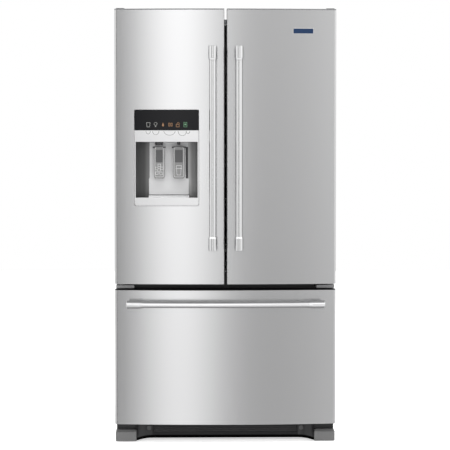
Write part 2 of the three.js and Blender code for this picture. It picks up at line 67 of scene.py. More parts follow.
SKIN_LOW, SKIN_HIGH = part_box("drawer_skin")
DOOR_LOW, DOOR_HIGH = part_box("door_skin_right")
HALF_WIDTH = SKIN_HIGH.x
CROWN_FRONT = SKIN_LOW.y
CROWN_BULGE = 25 * MM
CROWN_RADIUS = (HALF_WIDTH**2 + CROWN_BULGE**2) / (2 * CROWN_BULGE)
CROWN_CENTRE = CROWN_FRONT + CROWN_RADIUS
EDGE_RADIUS = 11 * MM
GAP_RADIUS = 5 * MM
SIDES = (("left", -1), ("right", 1))


def crown_y(x, inset=0.0):
    """Depth of the crowned front at x, inset behind the surface."""
    return CROWN_CENTRE - math.sqrt((CROWN_RADIUS - inset) ** 2 - x * x)


# ------------------------------------------------------------------ camera, lights, floor

CAMERA_DISTANCE = 7.0
CAMERA_HEIGHT = 1.23
CAMERA_YAW = math.radians(1.2)
FRAME_WIDTH = 1.837
FRAME_CENTRE_Z = 0.8937
FRAME_CENTRE_X = -0.002
CAMERA_SHIFT = -0.03
SENSOR = 36.0


def add_camera():
    data = bpy.data.cameras.new("camera")
    data.sensor_width = SENSOR
    data.lens = SENSOR * CAMERA_DISTANCE / FRAME_WIDTH
    data.shift_y = CAMERA_SHIFT
    data.clip_end = 60
    camera = bpy.data.objects.new("camera", data)
    bpy.context.scene.collection.objects.link(camera)
    plane_y = CROWN_FRONT + CROWN_BULGE
    spot = Vector((-math.sin(CAMERA_YAW), -math.cos(CAMERA_YAW), 0)) * CAMERA_DISTANCE
    camera.location = Vector((FRAME_CENTRE_X, plane_y, CAMERA_HEIGHT)) + spot
    aim = Vector((FRAME_CENTRE_X, plane_y, FRAME_CENTRE_Z - CAMERA_SHIFT * FRAME_WIDTH))
    camera.rotation_euler = (aim - camera.location).to_track_quat("-Z", "Y").to_euler()
    bpy.context.scene.camera = camera


# Studio brightness by compass angle, 0 straight in front of the doors and positive to the right.
ROOM_BY_ANGLE = ((-180, 0.9), (-150, 0.8), (-120, 1.0), (-42, 1.0), (-29, 0.3), (-16, 0.14), (-5.8, 2.04),
                 (3.5, 0.48), (12, 0.64), (22, 0.96), (28, 0.8), (33, 0.45), (42, 1.1), (110, 1.1),
                 (150, 0.8), (180, 0.9))
# Factor by the height of the direction, -1 straight down and 1 straight up.
ROOM_BY_HEIGHT = ((-1.0, 0.35), (-0.8, 0.4), (-0.6, 1.1), (-0.36, 1.1), (-0.24, 0.80), (-0.15, 0.76),
                  (-0.07, 0.90), (0.0, 1.0), (0.07, 1.05), (0.18, 1.1), (0.3, 1.5), (0.64, 1.45),
                  (0.82, 0.35), (1.0, 0.3))


def grey_ramp(nodes, links, value, low, high, rows):
    """Grey ramp over a value that runs from low to high."""
    remap = nodes.new("ShaderNodeMapRange")
    remap.inputs["From Min"].default_value = low
    remap.inputs["From Max"].default_value = high
    links.new(value, remap.inputs["Value"])
    ramp = nodes.new("ShaderNodeValToRGB")
    ramp.color_ramp.interpolation = "EASE"
    stops = ramp.color_ramp.elements
    while len(stops) < len(rows):
        stops.new(0.5)
    for stop, (place, level) in zip(stops, rows):
        stop.position = (place - rows[0][0]) / (rows[-1][0] - rows[0][0])
        stop.color = (level, level, level, 1)
    links.new(remap.outputs[0], ramp.inputs[0])
    return ramp.outputs["Color"]


def value_math(nodes, links, operation, first, second):
    node = nodes.new("ShaderNodeMath")
    node.operation = operation
    for socket, value in zip(node.inputs, (first, second)):
        if isinstance(value, (int, float)):
            socket.default_value = value
        else:
            links.new(value, socket)
    return node.outputs[0]


def add_world():
    """Soft studio: white behind and above, and a grey room with one bright strip before the doors."""
    world = bpy.data.worlds.new("studio")
    bpy.context.scene.world = world
    world.use_nodes = True
    nodes, links = world.node_tree.nodes, world.node_tree.links
    coords = nodes.new("ShaderNodeTexCoord")
    split = nodes.new("ShaderNodeSeparateXYZ")
    links.new(coords.outputs["Generated"], split.inputs[0])
    x, y, z = split.outputs
    forward = value_math(nodes, links, "MULTIPLY", y, -1.0)
    angle = value_math(nodes, links, "ARCTAN2", x, forward)
    around = grey_ramp(nodes, links, angle, -math.pi, math.pi, ROOM_BY_ANGLE)
    height = grey_ramp(nodes, links, z, -1, 1, ROOM_BY_HEIGHT)
    steep = value_math(nodes, links, "ABSOLUTE", z, 0.0)
    even = grey_ramp(nodes, links, steep, 0, 1, ((0, 0.0), (0.22, 0.0), (0.5, 1.0), (1, 1.0)))
    rest = value_math(nodes, links, "SUBTRACT", 1.0, even)
    kept = value_math(nodes, links, "MULTIPLY", around, rest)
    blended = value_math(nodes, links, "ADD", kept, even)
    room = value_math(nodes, links, "MULTIPLY", blended, height)
    seen = nodes.new("ShaderNodeLightPath").outputs["Is Camera Ray"]
    level = value_math(nodes, links, "MAXIMUM", room, seen)
    background = nodes["Background"]
    links.new(level, background.inputs["Color"])


def area_light(name, place, aim, width, height, power):
    data = bpy.data.lights.new(name, "AREA")
    data.shape = "RECTANGLE"
    data.size, data.size_y = width, height
    data.energy = power
    light = bpy.data.objects.new(name, data)
    bpy.context.scene.collection.objects.link(light)
    light.location = place
    light.rotation_euler = (Vector(aim) - Vector(place)).to_track_quat("-Z", "Y").to_euler()
    return light


def add_lights():
    """One large overhead box lights the floor and the soft parts. The steel doesn't mirror it."""
    light = area_light("top_box", (0.3, -0.9, 4.4), (0, 0, 0), 3.2, 2.4, 190)
    light.visible_glossy = False


# ------------------------------------------------------------------ materials

MATERIALS = {}


def shader(name, color, roughness, metallic=0.0, **sockets):
    """A principled material. Extra sockets are named with underscores, such as coat_weight."""
    material = bpy.data.materials.new(name)
    material.use_nodes = True
    tree = material.node_tree
    surface = tree.nodes["Principled BSDF"]
    surface.inputs["Base Color"].default_value = (*color, 1)
    surface.inputs["Roughness"].default_value = roughness
    surface.inputs["Metallic"].default_value = metallic
    for key, value in sockets.items():
        surface.inputs[key.replace("_", " ").title().replace("Ior", "IOR")].default_value = value
    MATERIALS[name] = material
    return tree.nodes, tree.links, surface


def noise(nodes, links, scale, stretch=(1, 1, 1), detail=3.0):
    """Noise in object space, so the grain has a real size in metres."""
    coords = nodes.new("ShaderNodeTexCoord")
    mapping = nodes.new("ShaderNodeMapping")
    mapping.inputs["Scale"].default_value = stretch
    texture = nodes.new("ShaderNodeTexNoise")
    texture.inputs["Scale"].default_value = scale
    texture.inputs["Detail"].default_value = detail
    links.new(coords.outputs["Object"], mapping.inputs["Vector"])
    links.new(mapping.outputs["Vector"], texture.inputs["Vector"])
    return texture.outputs["Fac"]


def vary(nodes, links, value, target, low, high):
    remap = nodes.new("ShaderNodeMapRange")
    remap.inputs["To Min"].default_value = low
    remap.inputs["To Max"].default_value = high
    links.new(value, remap.inputs["Value"])
    links.new(remap.outputs[0], target)


def tint(nodes, links, value, target, dark, light):
    mix = nodes.new("ShaderNodeMix")
    mix.data_type = "RGBA"
    ends = {socket.identifier: socket for socket in (*mix.inputs, *mix.outputs)}
    ends["A_Color"].default_value = (*dark, 1)
    ends["B_Color"].default_value = (*light, 1)
    links.new(value, ends["Factor_Float"])
    links.new(ends["Result_Color"], target)


def bump(nodes, links, value, surface, strength, distance):
    node = nodes.new("ShaderNodeBump")
    node.inputs["Strength"].default_value = strength
    node.inputs["Distance"].default_value = distance
    links.new(value, node.inputs["Height"])
    links.new(node.outputs["Normal"], surface.inputs["Normal"])


def brushed(name, color, roughness, stretch, spread=0.05, edge=1.0):
    """Metal with a grain along one axis. A low edge value darkens it at grazing angles."""
    nodes, links, surface = shader(name, color, roughness, 1.0, specular_tint=(edge, edge, edge, 1))
    grain = noise(nodes, links, 900, stretch, 2.0)
    tone = tuple(channel * 0.94 for channel in color)
    tint(nodes, links, grain, surface.inputs["Base Color"], tone, color)
    vary(nodes, links, grain, surface.inputs["Roughness"], roughness - spread, roughness + spread)
    bump(nodes, links, grain, surface, 0.03, 0.02 * MM)


def moulded(name, color, roughness, scale=1400, strength=0.12, shade=0.95, **sockets):
    nodes, links, surface = shader(name, color, roughness, **sockets)
    pores = noise(nodes, links, scale, detail=2.0)
    cloud = noise(nodes, links, 7, detail=2.0)
    tone = tuple(channel * shade for channel in color)
    tint(nodes, links, cloud, surface.inputs["Base Color"], tone, color)
    vary(nodes, links, cloud, surface.inputs["Roughness"], roughness - 0.04, roughness + 0.05)
    bump(nodes, links, pores, surface, strength, 0.05 * MM)


def shaded(name, rows):
    """Plastic with painted shade: its grey darkens across its width where the light would fall off. Rows are
    (x in millimetres, grey).
    """
    nodes, links, surface = shader(name, (0.2, 0.2, 0.2), 0.4)
    coords = nodes.new("ShaderNodeTexCoord")
    split = nodes.new("ShaderNodeSeparateXYZ")
    links.new(coords.outputs["Object"], split.inputs[0])
    across = grey_ramp(nodes, links, split.outputs["X"], rows[0][0] * MM, rows[-1][0] * MM, rows)
    links.new(across, surface.inputs["Base Color"])
    pores = noise(nodes, links, 900, detail=2.0)
    vary(nodes, links, pores, surface.inputs["Roughness"], 0.38, 0.44)


def painted(name, color, roughness, scale=500, strength=0.35):
    """Enamel over sheet with a fine orange peel."""
    nodes, links, surface = shader(name, color, roughness, coat_weight=0.15)
    peel = noise(nodes, links, scale, detail=3.0)
    cloud = noise(nodes, links, 3, detail=2.0)
    tone = tuple(channel * 0.93 for channel in color)
    tint(nodes, links, cloud, surface.inputs["Base Color"], tone, color)
    vary(nodes, links, peel, surface.inputs["Roughness"], roughness - 0.05, roughness + 0.08)
    bump(nodes, links, peel, surface, strength, 0.06 * MM)


def see_through(name, color, roughness, weight):
    nodes, links, surface = shader(name, color, roughness, transmission_weight=weight, ior=1.47)
    cloud = noise(nodes, links, 9, detail=2.0)
    vary(nodes, links, cloud, surface.inputs["Roughness"], roughness, roughness + 0.05)


def glowing(name, color, strength):
    nodes, links, surface = shader(name, color, 0.4, emission_strength=strength)
    surface.inputs["Emission Color"].default_value = (*color, 1)
    cloud = noise(nodes, links, 60)
    tone = tuple(channel * 0.85 for channel in color)
    tint(nodes, links, cloud, surface.inputs["Base Color"], tone, color)


def make_materials():
    brushed("stainless", (0.66, 0.66, 0.665), 0.21, (1, 1, 0.012), 0.02)
    brushed("polished_steel", (0.80, 0.80, 0.805), 0.14, (1, 1, 0.02), 0.03, 0.1)
    brushed("polished_across", (0.90, 0.90, 0.905), 0.30, (0.02, 1, 1), 0.03, 0.1)
    brushed("silver_trim", (0.84, 0.84, 0.845), 0.34, (0.02, 1, 1), 0.03)
    brushed("chrome_rim", (0.80, 0.80, 0.81), 0.12, (1, 1, 1), 0.02)
    brushed("zinc", (0.60, 0.61, 0.63), 0.38, (0.2, 1, 1))
    painted("cabinet_grey", (0.19, 0.195, 0.20), 0.42)
    painted("hinge_grey", (0.25, 0.252, 0.255), 0.45)
    painted("black_paint", (0.008, 0.008, 0.009), 0.45)
    moulded("white_plastic", (0.64, 0.645, 0.645), 0.30, 300, 0.05, 0.98)
    moulded("light_grey", (0.46, 0.465, 0.47), 0.42)
    moulded("mid_grey", (0.15, 0.152, 0.155), 0.45)
    moulded("cover_grey", (0.115, 0.115, 0.115), 0.5)
    moulded("slat_grey", (0.055, 0.055, 0.056), 0.5)
    # Almost black and barely reflective: painted shadow for the strip under the grille and the corner arms.
    moulded("painted_shadow_black", (0.0008, 0.0008, 0.0008), 0.8, specular_ior_level=0.02)
    moulded("hinge_cover", (0.07, 0.071, 0.072), 0.6, specular_ior_level=0.3)
    moulded("paddle_grey", (0.20, 0.20, 0.20), 0.34)
    moulded("window_grey", (0.075, 0.075, 0.077), 0.34)
    moulded("line_grey", (0.58, 0.58, 0.58), 0.4)
    moulded("print_grey", (0.30, 0.30, 0.30), 0.5)
    moulded("recess_grey", (0.60, 0.60, 0.605), 0.36, 900, 0.08)
    # Painted shade on the recess side walls: the grey runs from light by the back to dark at the front edge.
    shaded("recess_left_painted_shade", ((-367, 0.045), (-335, 0.040), (-316, 0.12), (-302, 0.44)))
    shaded("recess_right_painted_shade", ((-154, 0.42), (-132, 0.17), (-113, 0.09)))
    moulded("recess_dark", (0.030, 0.030, 0.032), 0.30, 900, 0.08)
    moulded("black_plastic", (0.008, 0.008, 0.009), 0.6, specular_ior_level=0.3)
    moulded("cap_grey", (0.17, 0.172, 0.175), 0.5)
    moulded("black_glass", (0.005, 0.005, 0.006), 0.16, 60, 0.01, specular_ior_level=0.15)
    moulded("rubber_grey", (0.16, 0.165, 0.17), 0.6, 700, 0.2)
    moulded("badge_blue", (0.010, 0.028, 0.075), 0.3, 400, 0.05, 0.8, specular_ior_level=0.25)
    see_through("shelf_glass", (0.90, 0.96, 0.94), 0.03, 1.0)
    see_through("clear_plastic", (0.93, 0.96, 0.97), 0.12, 0.85)
    see_through("frosted_plastic", (0.88, 0.92, 0.94), 0.35, 0.6)
    glowing("led_white", (1.0, 0.98, 0.94), 1.2)
    glowing("icon_white", (0.20, 0.20, 0.19), 0.25)
    glowing("icon_orange", (0.20, 0.105, 0.05), 0.3)
    glowing("icon_green", (0.09, 0.20, 0.11), 0.25)
    painted("copper_pipe", (0.45, 0.20, 0.11), 0.3, 800, 0.1)


# ------------------------------------------------------------------ mesh tools


def finish_mesh(name, mesh, material, body, replaces=(), angle=40):
    """Makes a smooth-shaded piece that keeps the edges sharper than the angle, and rides on a body."""
    piece = bpy.data.objects.new(name, mesh)
    bpy.context.scene.collection.objects.link(piece)
    mesh.materials.append(MATERIALS[material])
    mesh.polygons.foreach_set("use_smooth", [True] * len(mesh.polygons))
    mesh.set_sharp_from_angle(angle=math.radians(angle))
    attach(piece, body)
    if replaces:
        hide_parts(*replaces)
    return piece


def mesh_from(name, vertices, faces):
    mesh = bpy.data.meshes.new(name)
    mesh.from_pydata([tuple(v) for v in vertices], [], faces)
    shell = bmesh.new()
    shell.from_mesh(mesh)
    bmesh.ops.remove_doubles(shell, verts=shell.verts, dist=1e-6)
    bmesh.ops.dissolve_degenerate(shell, edges=shell.edges, dist=1e-7)
    bmesh.ops.recalc_face_normals(shell, faces=shell.faces)
    shell.to_mesh(mesh)
    shell.free()
    return mesh


def merged(name, *meshes):
    """Several meshes as one, such as a plate with its bosses."""
    whole = bmesh.new()
    for mesh in meshes:
        whole.from_mesh(mesh)
        bpy.data.meshes.remove(mesh)
    mesh = bpy.data.meshes.new(name)
    whole.to_mesh(mesh)
    whole.free()
    return mesh


def loft(name, rings, closed=True, caps=True):
    """Joins rings of equally many points. Caps close the first and the last ring."""
    count = len(rings[0])
    vertices = [point for ring in rings for point in ring]
    faces = []
    last = count if closed else count - 1
    for k in range(len(rings) - 1):
        for i in range(last):
            j = (i + 1) % count
            faces.append((k * count + i, k * count + j, (k + 1) * count + j, (k + 1) * count + i))
    if caps:
        faces.append(tuple(range(count))[::-1])
        faces.append(tuple(range((len(rings) - 1) * count, len(rings) * count)))
    return mesh_from(name, vertices, faces)


def quarter_turn(steps):
    return [math.pi / 2 * i / steps for i in range(steps + 1)]


def rounded_levels(low, high, edge, steps):
    """Levels from low to high with the inset that rounds both ends: (level, inset) pairs."""
    turns = quarter_turn(steps)
    levels = [(low + edge * (1 - math.sin(t)), edge * (1 - math.cos(t))) for t in reversed(turns)]
    return levels + [(high - edge * (1 - math.sin(t)), edge * (1 - math.cos(t))) for t in turns]


def arc(cx, cy, radius, start, end, steps):
    """Points on an arc, angles in degrees."""
    turn = [math.radians(start + (end - start) * i / steps) for i in range(steps + 1)]
    return [(cx + radius * math.cos(a), cy + radius * math.sin(a)) for a in turn]


def rounded_rect(x0, x1, y0, y1, radii, steps=6):
    """Counterclockwise outline; radii go lower-left, lower-right, upper-right, upper-left."""
    if not isinstance(radii, (tuple, list)):
        radii = (radii,) * 4
    a, b, c, d = (max(r, 1e-5) for r in radii)
    return (
        arc(x0 + a, y0 + a, a, 180, 270, steps)
        + arc(x1 - b, y0 + b, b, 270, 360, steps)
        + arc(x1 - c, y1 - c, c, 0, 90, steps)
        + arc(x0 + d, y1 - d, d, 90, 180, steps)
    )


PLACE = {
    "x": lambda u, v, w: (w, u, v),
    "y": lambda u, v, w: (u, w, v),
    "z": lambda u, v, w: (u, v, w),
}
SPAN = {"x": (1, 2, 0), "y": (0, 2, 1), "z": (0, 1, 2)}


def ring_at(outline, w, axis):
    return [PLACE[axis](u, v, w) for u, v in outline]


def extruded(name, outline, start, end, axis):
    """A flat outline drawn out along an axis."""
    return loft(name, [ring_at(outline, start, axis), ring_at(outline, end, axis)])


def in_mm(points):
    return [(u * MM, v * MM) for u, v in points]


def soft_box(name, low, high, corner=2 * MM, edge=1 * MM, axis="z", steps=5, edge_steps=3):
    """A box with rounded corners about the axis and rounded edges at both ends."""
    iu, iv, iw = SPAN[axis]
    u0, u1, v0, v1, w0, w1 = low[iu], high[iu], low[iv], high[iv], low[iw], high[iw]
    corners = corner if isinstance(corner, (tuple, list)) else (corner,) * 4
    rings = []
    for w, inset in rounded_levels(w0, w1, edge, edge_steps):
        radii = [max(r - inset, 0.1 * MM) for r in corners]
        outline = rounded_rect(u0 + inset, u1 - inset, v0 + inset, v1 - inset, radii, steps)
        rings.append(ring_at(outline, w, axis))
    return loft(name, rings)


def tub_mesh(name, low, high, open_side="+z", wall=3 * MM, corner=14 * MM, draft=3 * MM, lip=4 * MM):
    """An open bin: drafted walls, rounded corners and floor, and a rolled lip round the mouth."""
    axis = open_side[1]
    iu, iv, iw = SPAN[axis]
    u0, u1, v0, v1 = low[iu], high[iu], low[iv], high[iv]
    floor, mouth = (low[iw], high[iw]) if open_side[0] == "+" else (high[iw], low[iw])
    up = 1 if mouth > floor else -1
    depth = abs(mouth - floor)
    foot = 6 * MM

    def ring(level, inset, radius):
        outline = rounded_rect(u0 + inset, u1 - inset, v0 + inset, v1 - inset, radius, 6)
        return ring_at(outline, floor + up * level, axis)

    rings = []
    for t in (0, 30, 60, 90):
        a = math.radians(t)
        rings.append(ring(foot * (1 - math.cos(a)), lip + draft + foot * (1 - math.sin(a)), corner))
    rings.append(ring(depth - 10 * MM, lip, corner))
    rings.append(ring(depth - 8 * MM, 0.5 * MM, corner + lip))
    rings.append(ring(depth - 1 * MM, 0.0, corner + lip))
    rings.append(ring(depth, 1 * MM, corner + lip))
    rings.append(ring(depth, lip + wall - 1 * MM, corner))
    rings.append(ring(depth - 1.5 * MM, lip + wall, corner - 1 * MM))
    for t in (90, 60, 30, 0):
        a = math.radians(t)
        level = wall + foot * (1 - math.cos(a))
        rings.append(ring(level, lip + draft + wall + foot * (1 - math.sin(a)), corner - 2 * MM))
    return loft(name, rings)


def turned(name, profile, base, direction, sides=48):
    """A lathe: profile points are (radius, distance along the axis)."""
    turn = Vector((0, 0, 1)).rotation_difference(Vector(direction).normalized()).to_matrix()
    rings = []
    for radius, along in profile:
        points = []
        for i in range(sides):
            a = 2 * math.pi * i / sides
            local = Vector((max(radius, 1e-5) * math.cos(a), max(radius, 1e-5) * math.sin(a), along))
            points.append(tuple(Vector(base) + turn @ local))
        rings.append(points)
    return loft(name, rings)


def rod(name, radius, length, base, direction, sides):
    profile = [(0, 0), (radius, 0), (radius, length), (0, length)]
    return turned(name, profile, base, direction, sides)


def rounded_profile(radius, length, edge, steps=4):
    """A rod's lathe profile with rounded ends."""
    first = [(radius - edge * (1 - math.sin(t)), edge * (1 - math.cos(t)))
             for t in quarter_turn(steps)]
    return first + [(r, length - along) for r, along in reversed(first)]


def sweep(name, path, radius, sides=16, scale=None):
    """A closed tube along points. scale gives the radius factor at each point."""
    points = [Vector(p) for p in path]
    rings = []
    side = None
    for i, point in enumerate(points):
        ahead = points[min(i + 1, len(points) - 1)] - points[max(i - 1, 0)]
        ahead.normalize()
        if side is None:
            seed = Vector((0, 0, 1)) if abs(ahead.z) < 0.9 else Vector((1, 0, 0))
            side = ahead.cross(seed).normalized()
        side = (side - ahead * side.dot(ahead)).normalized()
        other = ahead.cross(side)
        r = radius * (scale[i] if scale else 1)
        angles = [2 * math.pi * k / sides for k in range(sides)]
        rings.append([tuple(point + (side * math.cos(a) + other * math.sin(a)) * r) for a in angles])
    return loft(name, rings)


def cut_out(piece, cutter_mesh):
    """Cuts a closed mesh out of a piece and applies the cut."""
    cutter = bpy.data.objects.new("cutter", cutter_mesh)
    bpy.context.scene.collection.objects.link(cutter)
    modifier = piece.modifiers.new("cut", "BOOLEAN")
    modifier.operation = "DIFFERENCE"
    modifier.solver = "EXACT"
    modifier.object = cutter
    apply_modifiers(piece)
    bpy.data.objects.remove(cutter)
    piece.data.polygons.foreach_set("use_smooth", [True] * len(piece.data.polygons))
    piece.data.set_sharp_from_angle(angle=math.radians(40))


def apply_modifiers(piece):
    bpy.context.view_layer.update()
    depsgraph = bpy.context.evaluated_depsgraph_get()
    mesh = bpy.data.meshes.new_from_object(piece.evaluated_get(depsgraph))
    piece.modifiers.clear()
    piece.data = mesh


def dress(node, material, bevel=0.0, segments=2):
    """A CAD node that stays: a procedural material and, where wanted, rounded edges."""
    piece = frame["nodes"][node]
    piece.data.materials.clear()
    piece.data.materials.append(MATERIALS[material])
    if bevel:
        weld = piece.modifiers.new("weld", "WELD")
        weld.merge_threshold = 0.05 * MM
        rounding = piece.modifiers.new("bevel", "BEVEL")
        rounding.width = bevel
        rounding.segments = segments
        rounding.limit_method = "ANGLE"
        rounding.angle_limit = math.radians(40)
    return piece


# ------------------------------------------------------------------ crowned doors and drawer


CUT_REACH = (-0.45, -0.34)


def crowned_outline(x0, x1, inset, r0, r1, rear, steps=40):
    """Open outline from the rear left corner, round the crowned front, to the rear right."""
    x0, x1 = x0 + inset, x1 - inset
    r0, r1 = max(r0 - inset, 0.2 * MM), max(r1 - inset, 0.2 * MM)
    a, b = x0 + r0, x1 - r1
    ya, yb = crown_y(a, inset) + r0, crown_y(b, inset) + r1
    points = [(x0, rear)] + arc(a, ya, r0, 180, 270, 8)
    for i in range(1, steps):
        x = a + (b - a) * i / steps
        points.append((x, crown_y(x, inset)))
    return points + arc(b, yb, r1, 270, 360, 8) + [(x1, rear)]


def formed_skin(name, x0, x1, z0, z1, r0, r1, edge=3 * MM):
    """Formed sheet with rounded edges all round, open at the rear."""
    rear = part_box("door_skin_right")[1].y
    rings = [[(x, y, z) for x, y in crowned_outline(x0, x1, inset, r0, r1, rear)]
             for z, inset in rounded_levels(z0, z1, edge, 4)]
    return loft(name, rings, closed=False)


def thicken(piece, amount):
    modifier = piece.modifiers.new("sheet", "SOLIDIFY")
    modifier.thickness = amount
    modifier.offset = -1
    apply_modifiers(piece)


def top_cap(node, body, r0, r1, height, material):
    """Moulded strip that closes the top of a door or drawer, flush with its sheet."""
    low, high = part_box(node)
    rings = []
    for z, inset in ((high.z - height + 0.3 * MM, 0), (high.z - 0.6 * MM, 0), (high.z, 0.6 * MM)):
        outline = crowned_outline(low.x, high.x, inset + 0.2 * MM, r0, r1, high.y)
        rings.append([(x, y, z) for x, y in outline])
    finish_mesh(node + "_cap", loft(node + "_cap", rings), material, body, (), 25)


def skin_piece(node, body, r0, r1, cap_height, cap_material):
    low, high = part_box(node)
    mesh = formed_skin(node + "_sheet", low.x, high.x, low.z, high.z - cap_height, r0, r1, 1.5 * MM)
    top_cap(node, body, r0, r1, cap_height, cap_material)
    piece = finish_mesh(node + "_sheet", mesh, "stainless", body, (node,))
    thicken(piece, 1.2 * MM)
    return piece


def add_skins():
    left = skin_piece("door_skin_left", "left_door", EDGE_RADIUS, GAP_RADIUS, 4 * MM, "cap_grey")
    skin_piece("door_skin_right", "right_door", GAP_RADIUS, EDGE_RADIUS, 4 * MM, "cap_grey")
    skin_piece("drawer_skin", "freezer_drawer", EDGE_RADIUS, EDGE_RADIUS, 1.5 * MM, "black_plastic")
    low, high = dispenser_box()
    grow = 1.3 * MM
    outline = rounded_rect(low.x - grow, high.x + grow, low.z - grow, high.z + grow,
                           (10 * MM, 10 * MM, 6 * MM, 6 * MM), 6)
    cutter = extruded("opening", outline, *CUT_REACH, "y")
    cut_out(left, cutter)
    left.data.materials.clear()
    left.data.materials.append(MATERIALS["stainless"])


# ------------------------------------------------------------------ handles


def add_door_handle(word):
    low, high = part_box("handle_bar_" + word)
    centre = (low + high) / 2
    radius = (high.x - low.x) / 2
    body = word + "_door"
    profile = rounded_profile(radius, high.z - low.z, 0.3 * MM)
    base = (centre.x, centre.y, low.z)
    bar = turned("grip_" + word, profile, base, (0, 0, 1), 64)
    finish_mesh("grip_" + word, bar, "polished_steel", body, ("handle_bar_" + word,))
    for end, up in (("upper", 1), ("lower", -1)):
        node = f"handle_end_{end}_{word}"
        box_low, box_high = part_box(node)
        tip = box_high.z if up > 0 else box_low.z
        wide = (box_high.x - box_low.x) / 2
        long = box_high.z - box_low.z
        shape = [(0, 0)] + [(wide - 1.2 * MM + 1.2 * MM * math.sin(t), 1.2 * MM * (1 - math.cos(t)))
                            for t in quarter_turn(5)]
        neck = radius + 0.4 * MM
        shape += [(neck + (wide - neck) * (1 + math.cos(math.pi * i / 8)) / 2,
                   long - 10 * MM + 10 * MM * i / 8) for i in range(9)]
        shape.append((0, long))
        collar = turned(node + "_a", shape, (centre.x, centre.y, tip), (0, 0, -up), 64)
        z = tip - up * long / 2
        rear = crown_y(centre.x) - 0.3 * MM
        post = [(0, 0), (11 * MM, 0), (11 * MM, rear - centre.y - 5 * MM),
                (11.6 * MM, rear - centre.y - 2.5 * MM), (14 * MM, rear - centre.y - 1 * MM),
                (14.5 * MM, rear - centre.y), (0, rear - centre.y)]
        stem = turned(node + "_b", post, (centre.x, centre.y, z), (0, 1, 0), 48)
        mesh = merged(node + "_piece", collar, stem)
        finish_mesh(node + "_piece", mesh, "polished_steel", body, (node,), 30)


def bow(x, z, reach):
    """A point that stands off the crowned front by the reach."""
    return (x, crown_y(x) - reach, z)


def add_drawer_handle():
    low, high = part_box("drawer_handle_bar")
    z = (low.z + high.z) / 2
    radius = (high.z - low.z) / 2
    reach = CROWN_FRONT - (low.y + radius)
    half = high.x
    path = [bow(-half + 2 * half * i / 48, z, reach) for i in range(49)]
    bar = sweep("drawer_grip", path, radius, 48)
    finish_mesh("drawer_grip", bar, "polished_across", "freezer_drawer",
                ("drawer_handle_bar",))
    for word, side in SIDES:
        node = "drawer_handle_end_" + word
        box_low, box_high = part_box(node)
        wide = (box_high.z - box_low.z) / 2
        tip = box_high.x if side > 0 else box_low.x
        long = box_high.x - box_low.x
        grip = radius / wide
        neck = [(long - 17 * MM + 17 * MM * i / 12, 1 - (0.97 - grip) * (1 - math.cos(math.pi * i / 12)) / 2)
                for i in range(13)]
        stops = [(0, 0.9), (0.3 * MM, 0.96), (1.2 * MM, 1), (14 * MM, 1), (28 * MM, 1), *neck]
        path = [bow(tip - side * along, z, reach) for along, _ in stops]
        collar = sweep(node + "_a", path, wide, 48, [scale for _, scale in stops])
        x = tip - side * long / 2
        y0, y1 = crown_y(x) - reach, crown_y(x) - 0.4 * MM
        post = [(0, 0), (9 * MM, 0), (9 * MM, y1 - y0 - 3 * MM), (9.5 * MM, y1 - y0 - 1.5 * MM),
                (11 * MM, y1 - y0), (0, y1 - y0)]
        stem = turned(node + "_b", post, (x, y0, z), (0, 1, 0), 48)
        mesh = merged(node + "_piece", collar, stem)
        finish_mesh(node + "_piece", mesh, "polished_across", "freezer_drawer",
                    (node,), 30)


# ------------------------------------------------------------------ dispenser

BAR_HEIGHT = 47 * MM
SILL_HEIGHT = 33 * MM


def dispenser_box():
    panel_low, panel_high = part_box("control_panel")
    house_low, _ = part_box("dispenser_housing")
    low = Vector((panel_low.x, panel_low.y, house_low.z))
    return low, panel_high


def crowned_patch(name, x0, x1, z0, z1, proud, thick, radii, edge=0.8 * MM, columns=16):
    """A plate that follows the crown: made flat, cut in columns, and then bent."""
    rings = []
    for depth, inset in ((thick, 0), (edge, 0), (edge * 0.3, edge * 0.3), (0, edge)):
        corners = tuple(max(r - inset, 0.1 * MM) for r in radii)
        outline = rounded_rect(x0 + inset, x1 - inset, z0 + inset, z1 - inset, corners, 6)
        rings.append(ring_at(outline, depth, "y"))
    mesh = loft(name, rings)
    shape = bmesh.new()
    shape.from_mesh(mesh)
    for i in range(1, columns):
        x = x0 + (x1 - x0) * i / columns
        geometry = shape.verts[:] + shape.edges[:] + shape.faces[:]
        bmesh.ops.bisect_plane(shape, geom=geometry, plane_co=(x, 0, 0), plane_no=(1, 0, 0))
    for vertex in shape.verts:
        vertex.co.y += crown_y(vertex.co.x) - proud
    shape.to_mesh(mesh)
    shape.free()
    return mesh


def plate(name, material, body, low, high, corner, edge, axis="z", replaces=()):
    """A rounded box made straight into a piece."""
    mesh = soft_box(name, low, high, corner, edge, axis)
    return finish_mesh(name, mesh, material, body, replaces)


def add_control_panel():
    low, high = dispenser_box()
    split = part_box("control_panel")[0].z
    crown = crowned_patch("touch_panel", low.x, high.x, split, high.z, 1.0 * MM, 5 * MM,
                          (0.5 * MM, 0.5 * MM, 6 * MM, 6 * MM))
    finish_mesh("touch_panel", crown, "black_glass", "left_door", ("control_panel",), 30)
    bar_low = split - BAR_HEIGHT
    crown = crowned_patch("button_bar", low.x, high.x, bar_low, split - 0.3 * MM, 1.0 * MM, 6 * MM,
                          (0.5 * MM,) * 4)
    finish_mesh("button_bar", crown, "silver_trim", "left_door", (), 30)
    z = split - 3 * MM
    marks = ((56, 10, 13), (87, 14, 16), (143, 24, 18), (195, 18, 20), (218, 9, 11))
    for i, (along, wide, drop) in enumerate(marks):
        outer = [(wide * u, drop * v) for u, v in arc(0, 0, 1, 180, 360, 18)]
        inner = [((wide - 2.2) / wide * u, (drop - 2.2) / drop * v) for u, v in outer]
        x = low.x + along * MM
        shapes = [(outer + inner[::-1], 0)]
        pictogram(f"touch_mark_{i}", "print_grey", "left_door", shapes, x, z, crown_y(x) - 1.1 * MM, True)


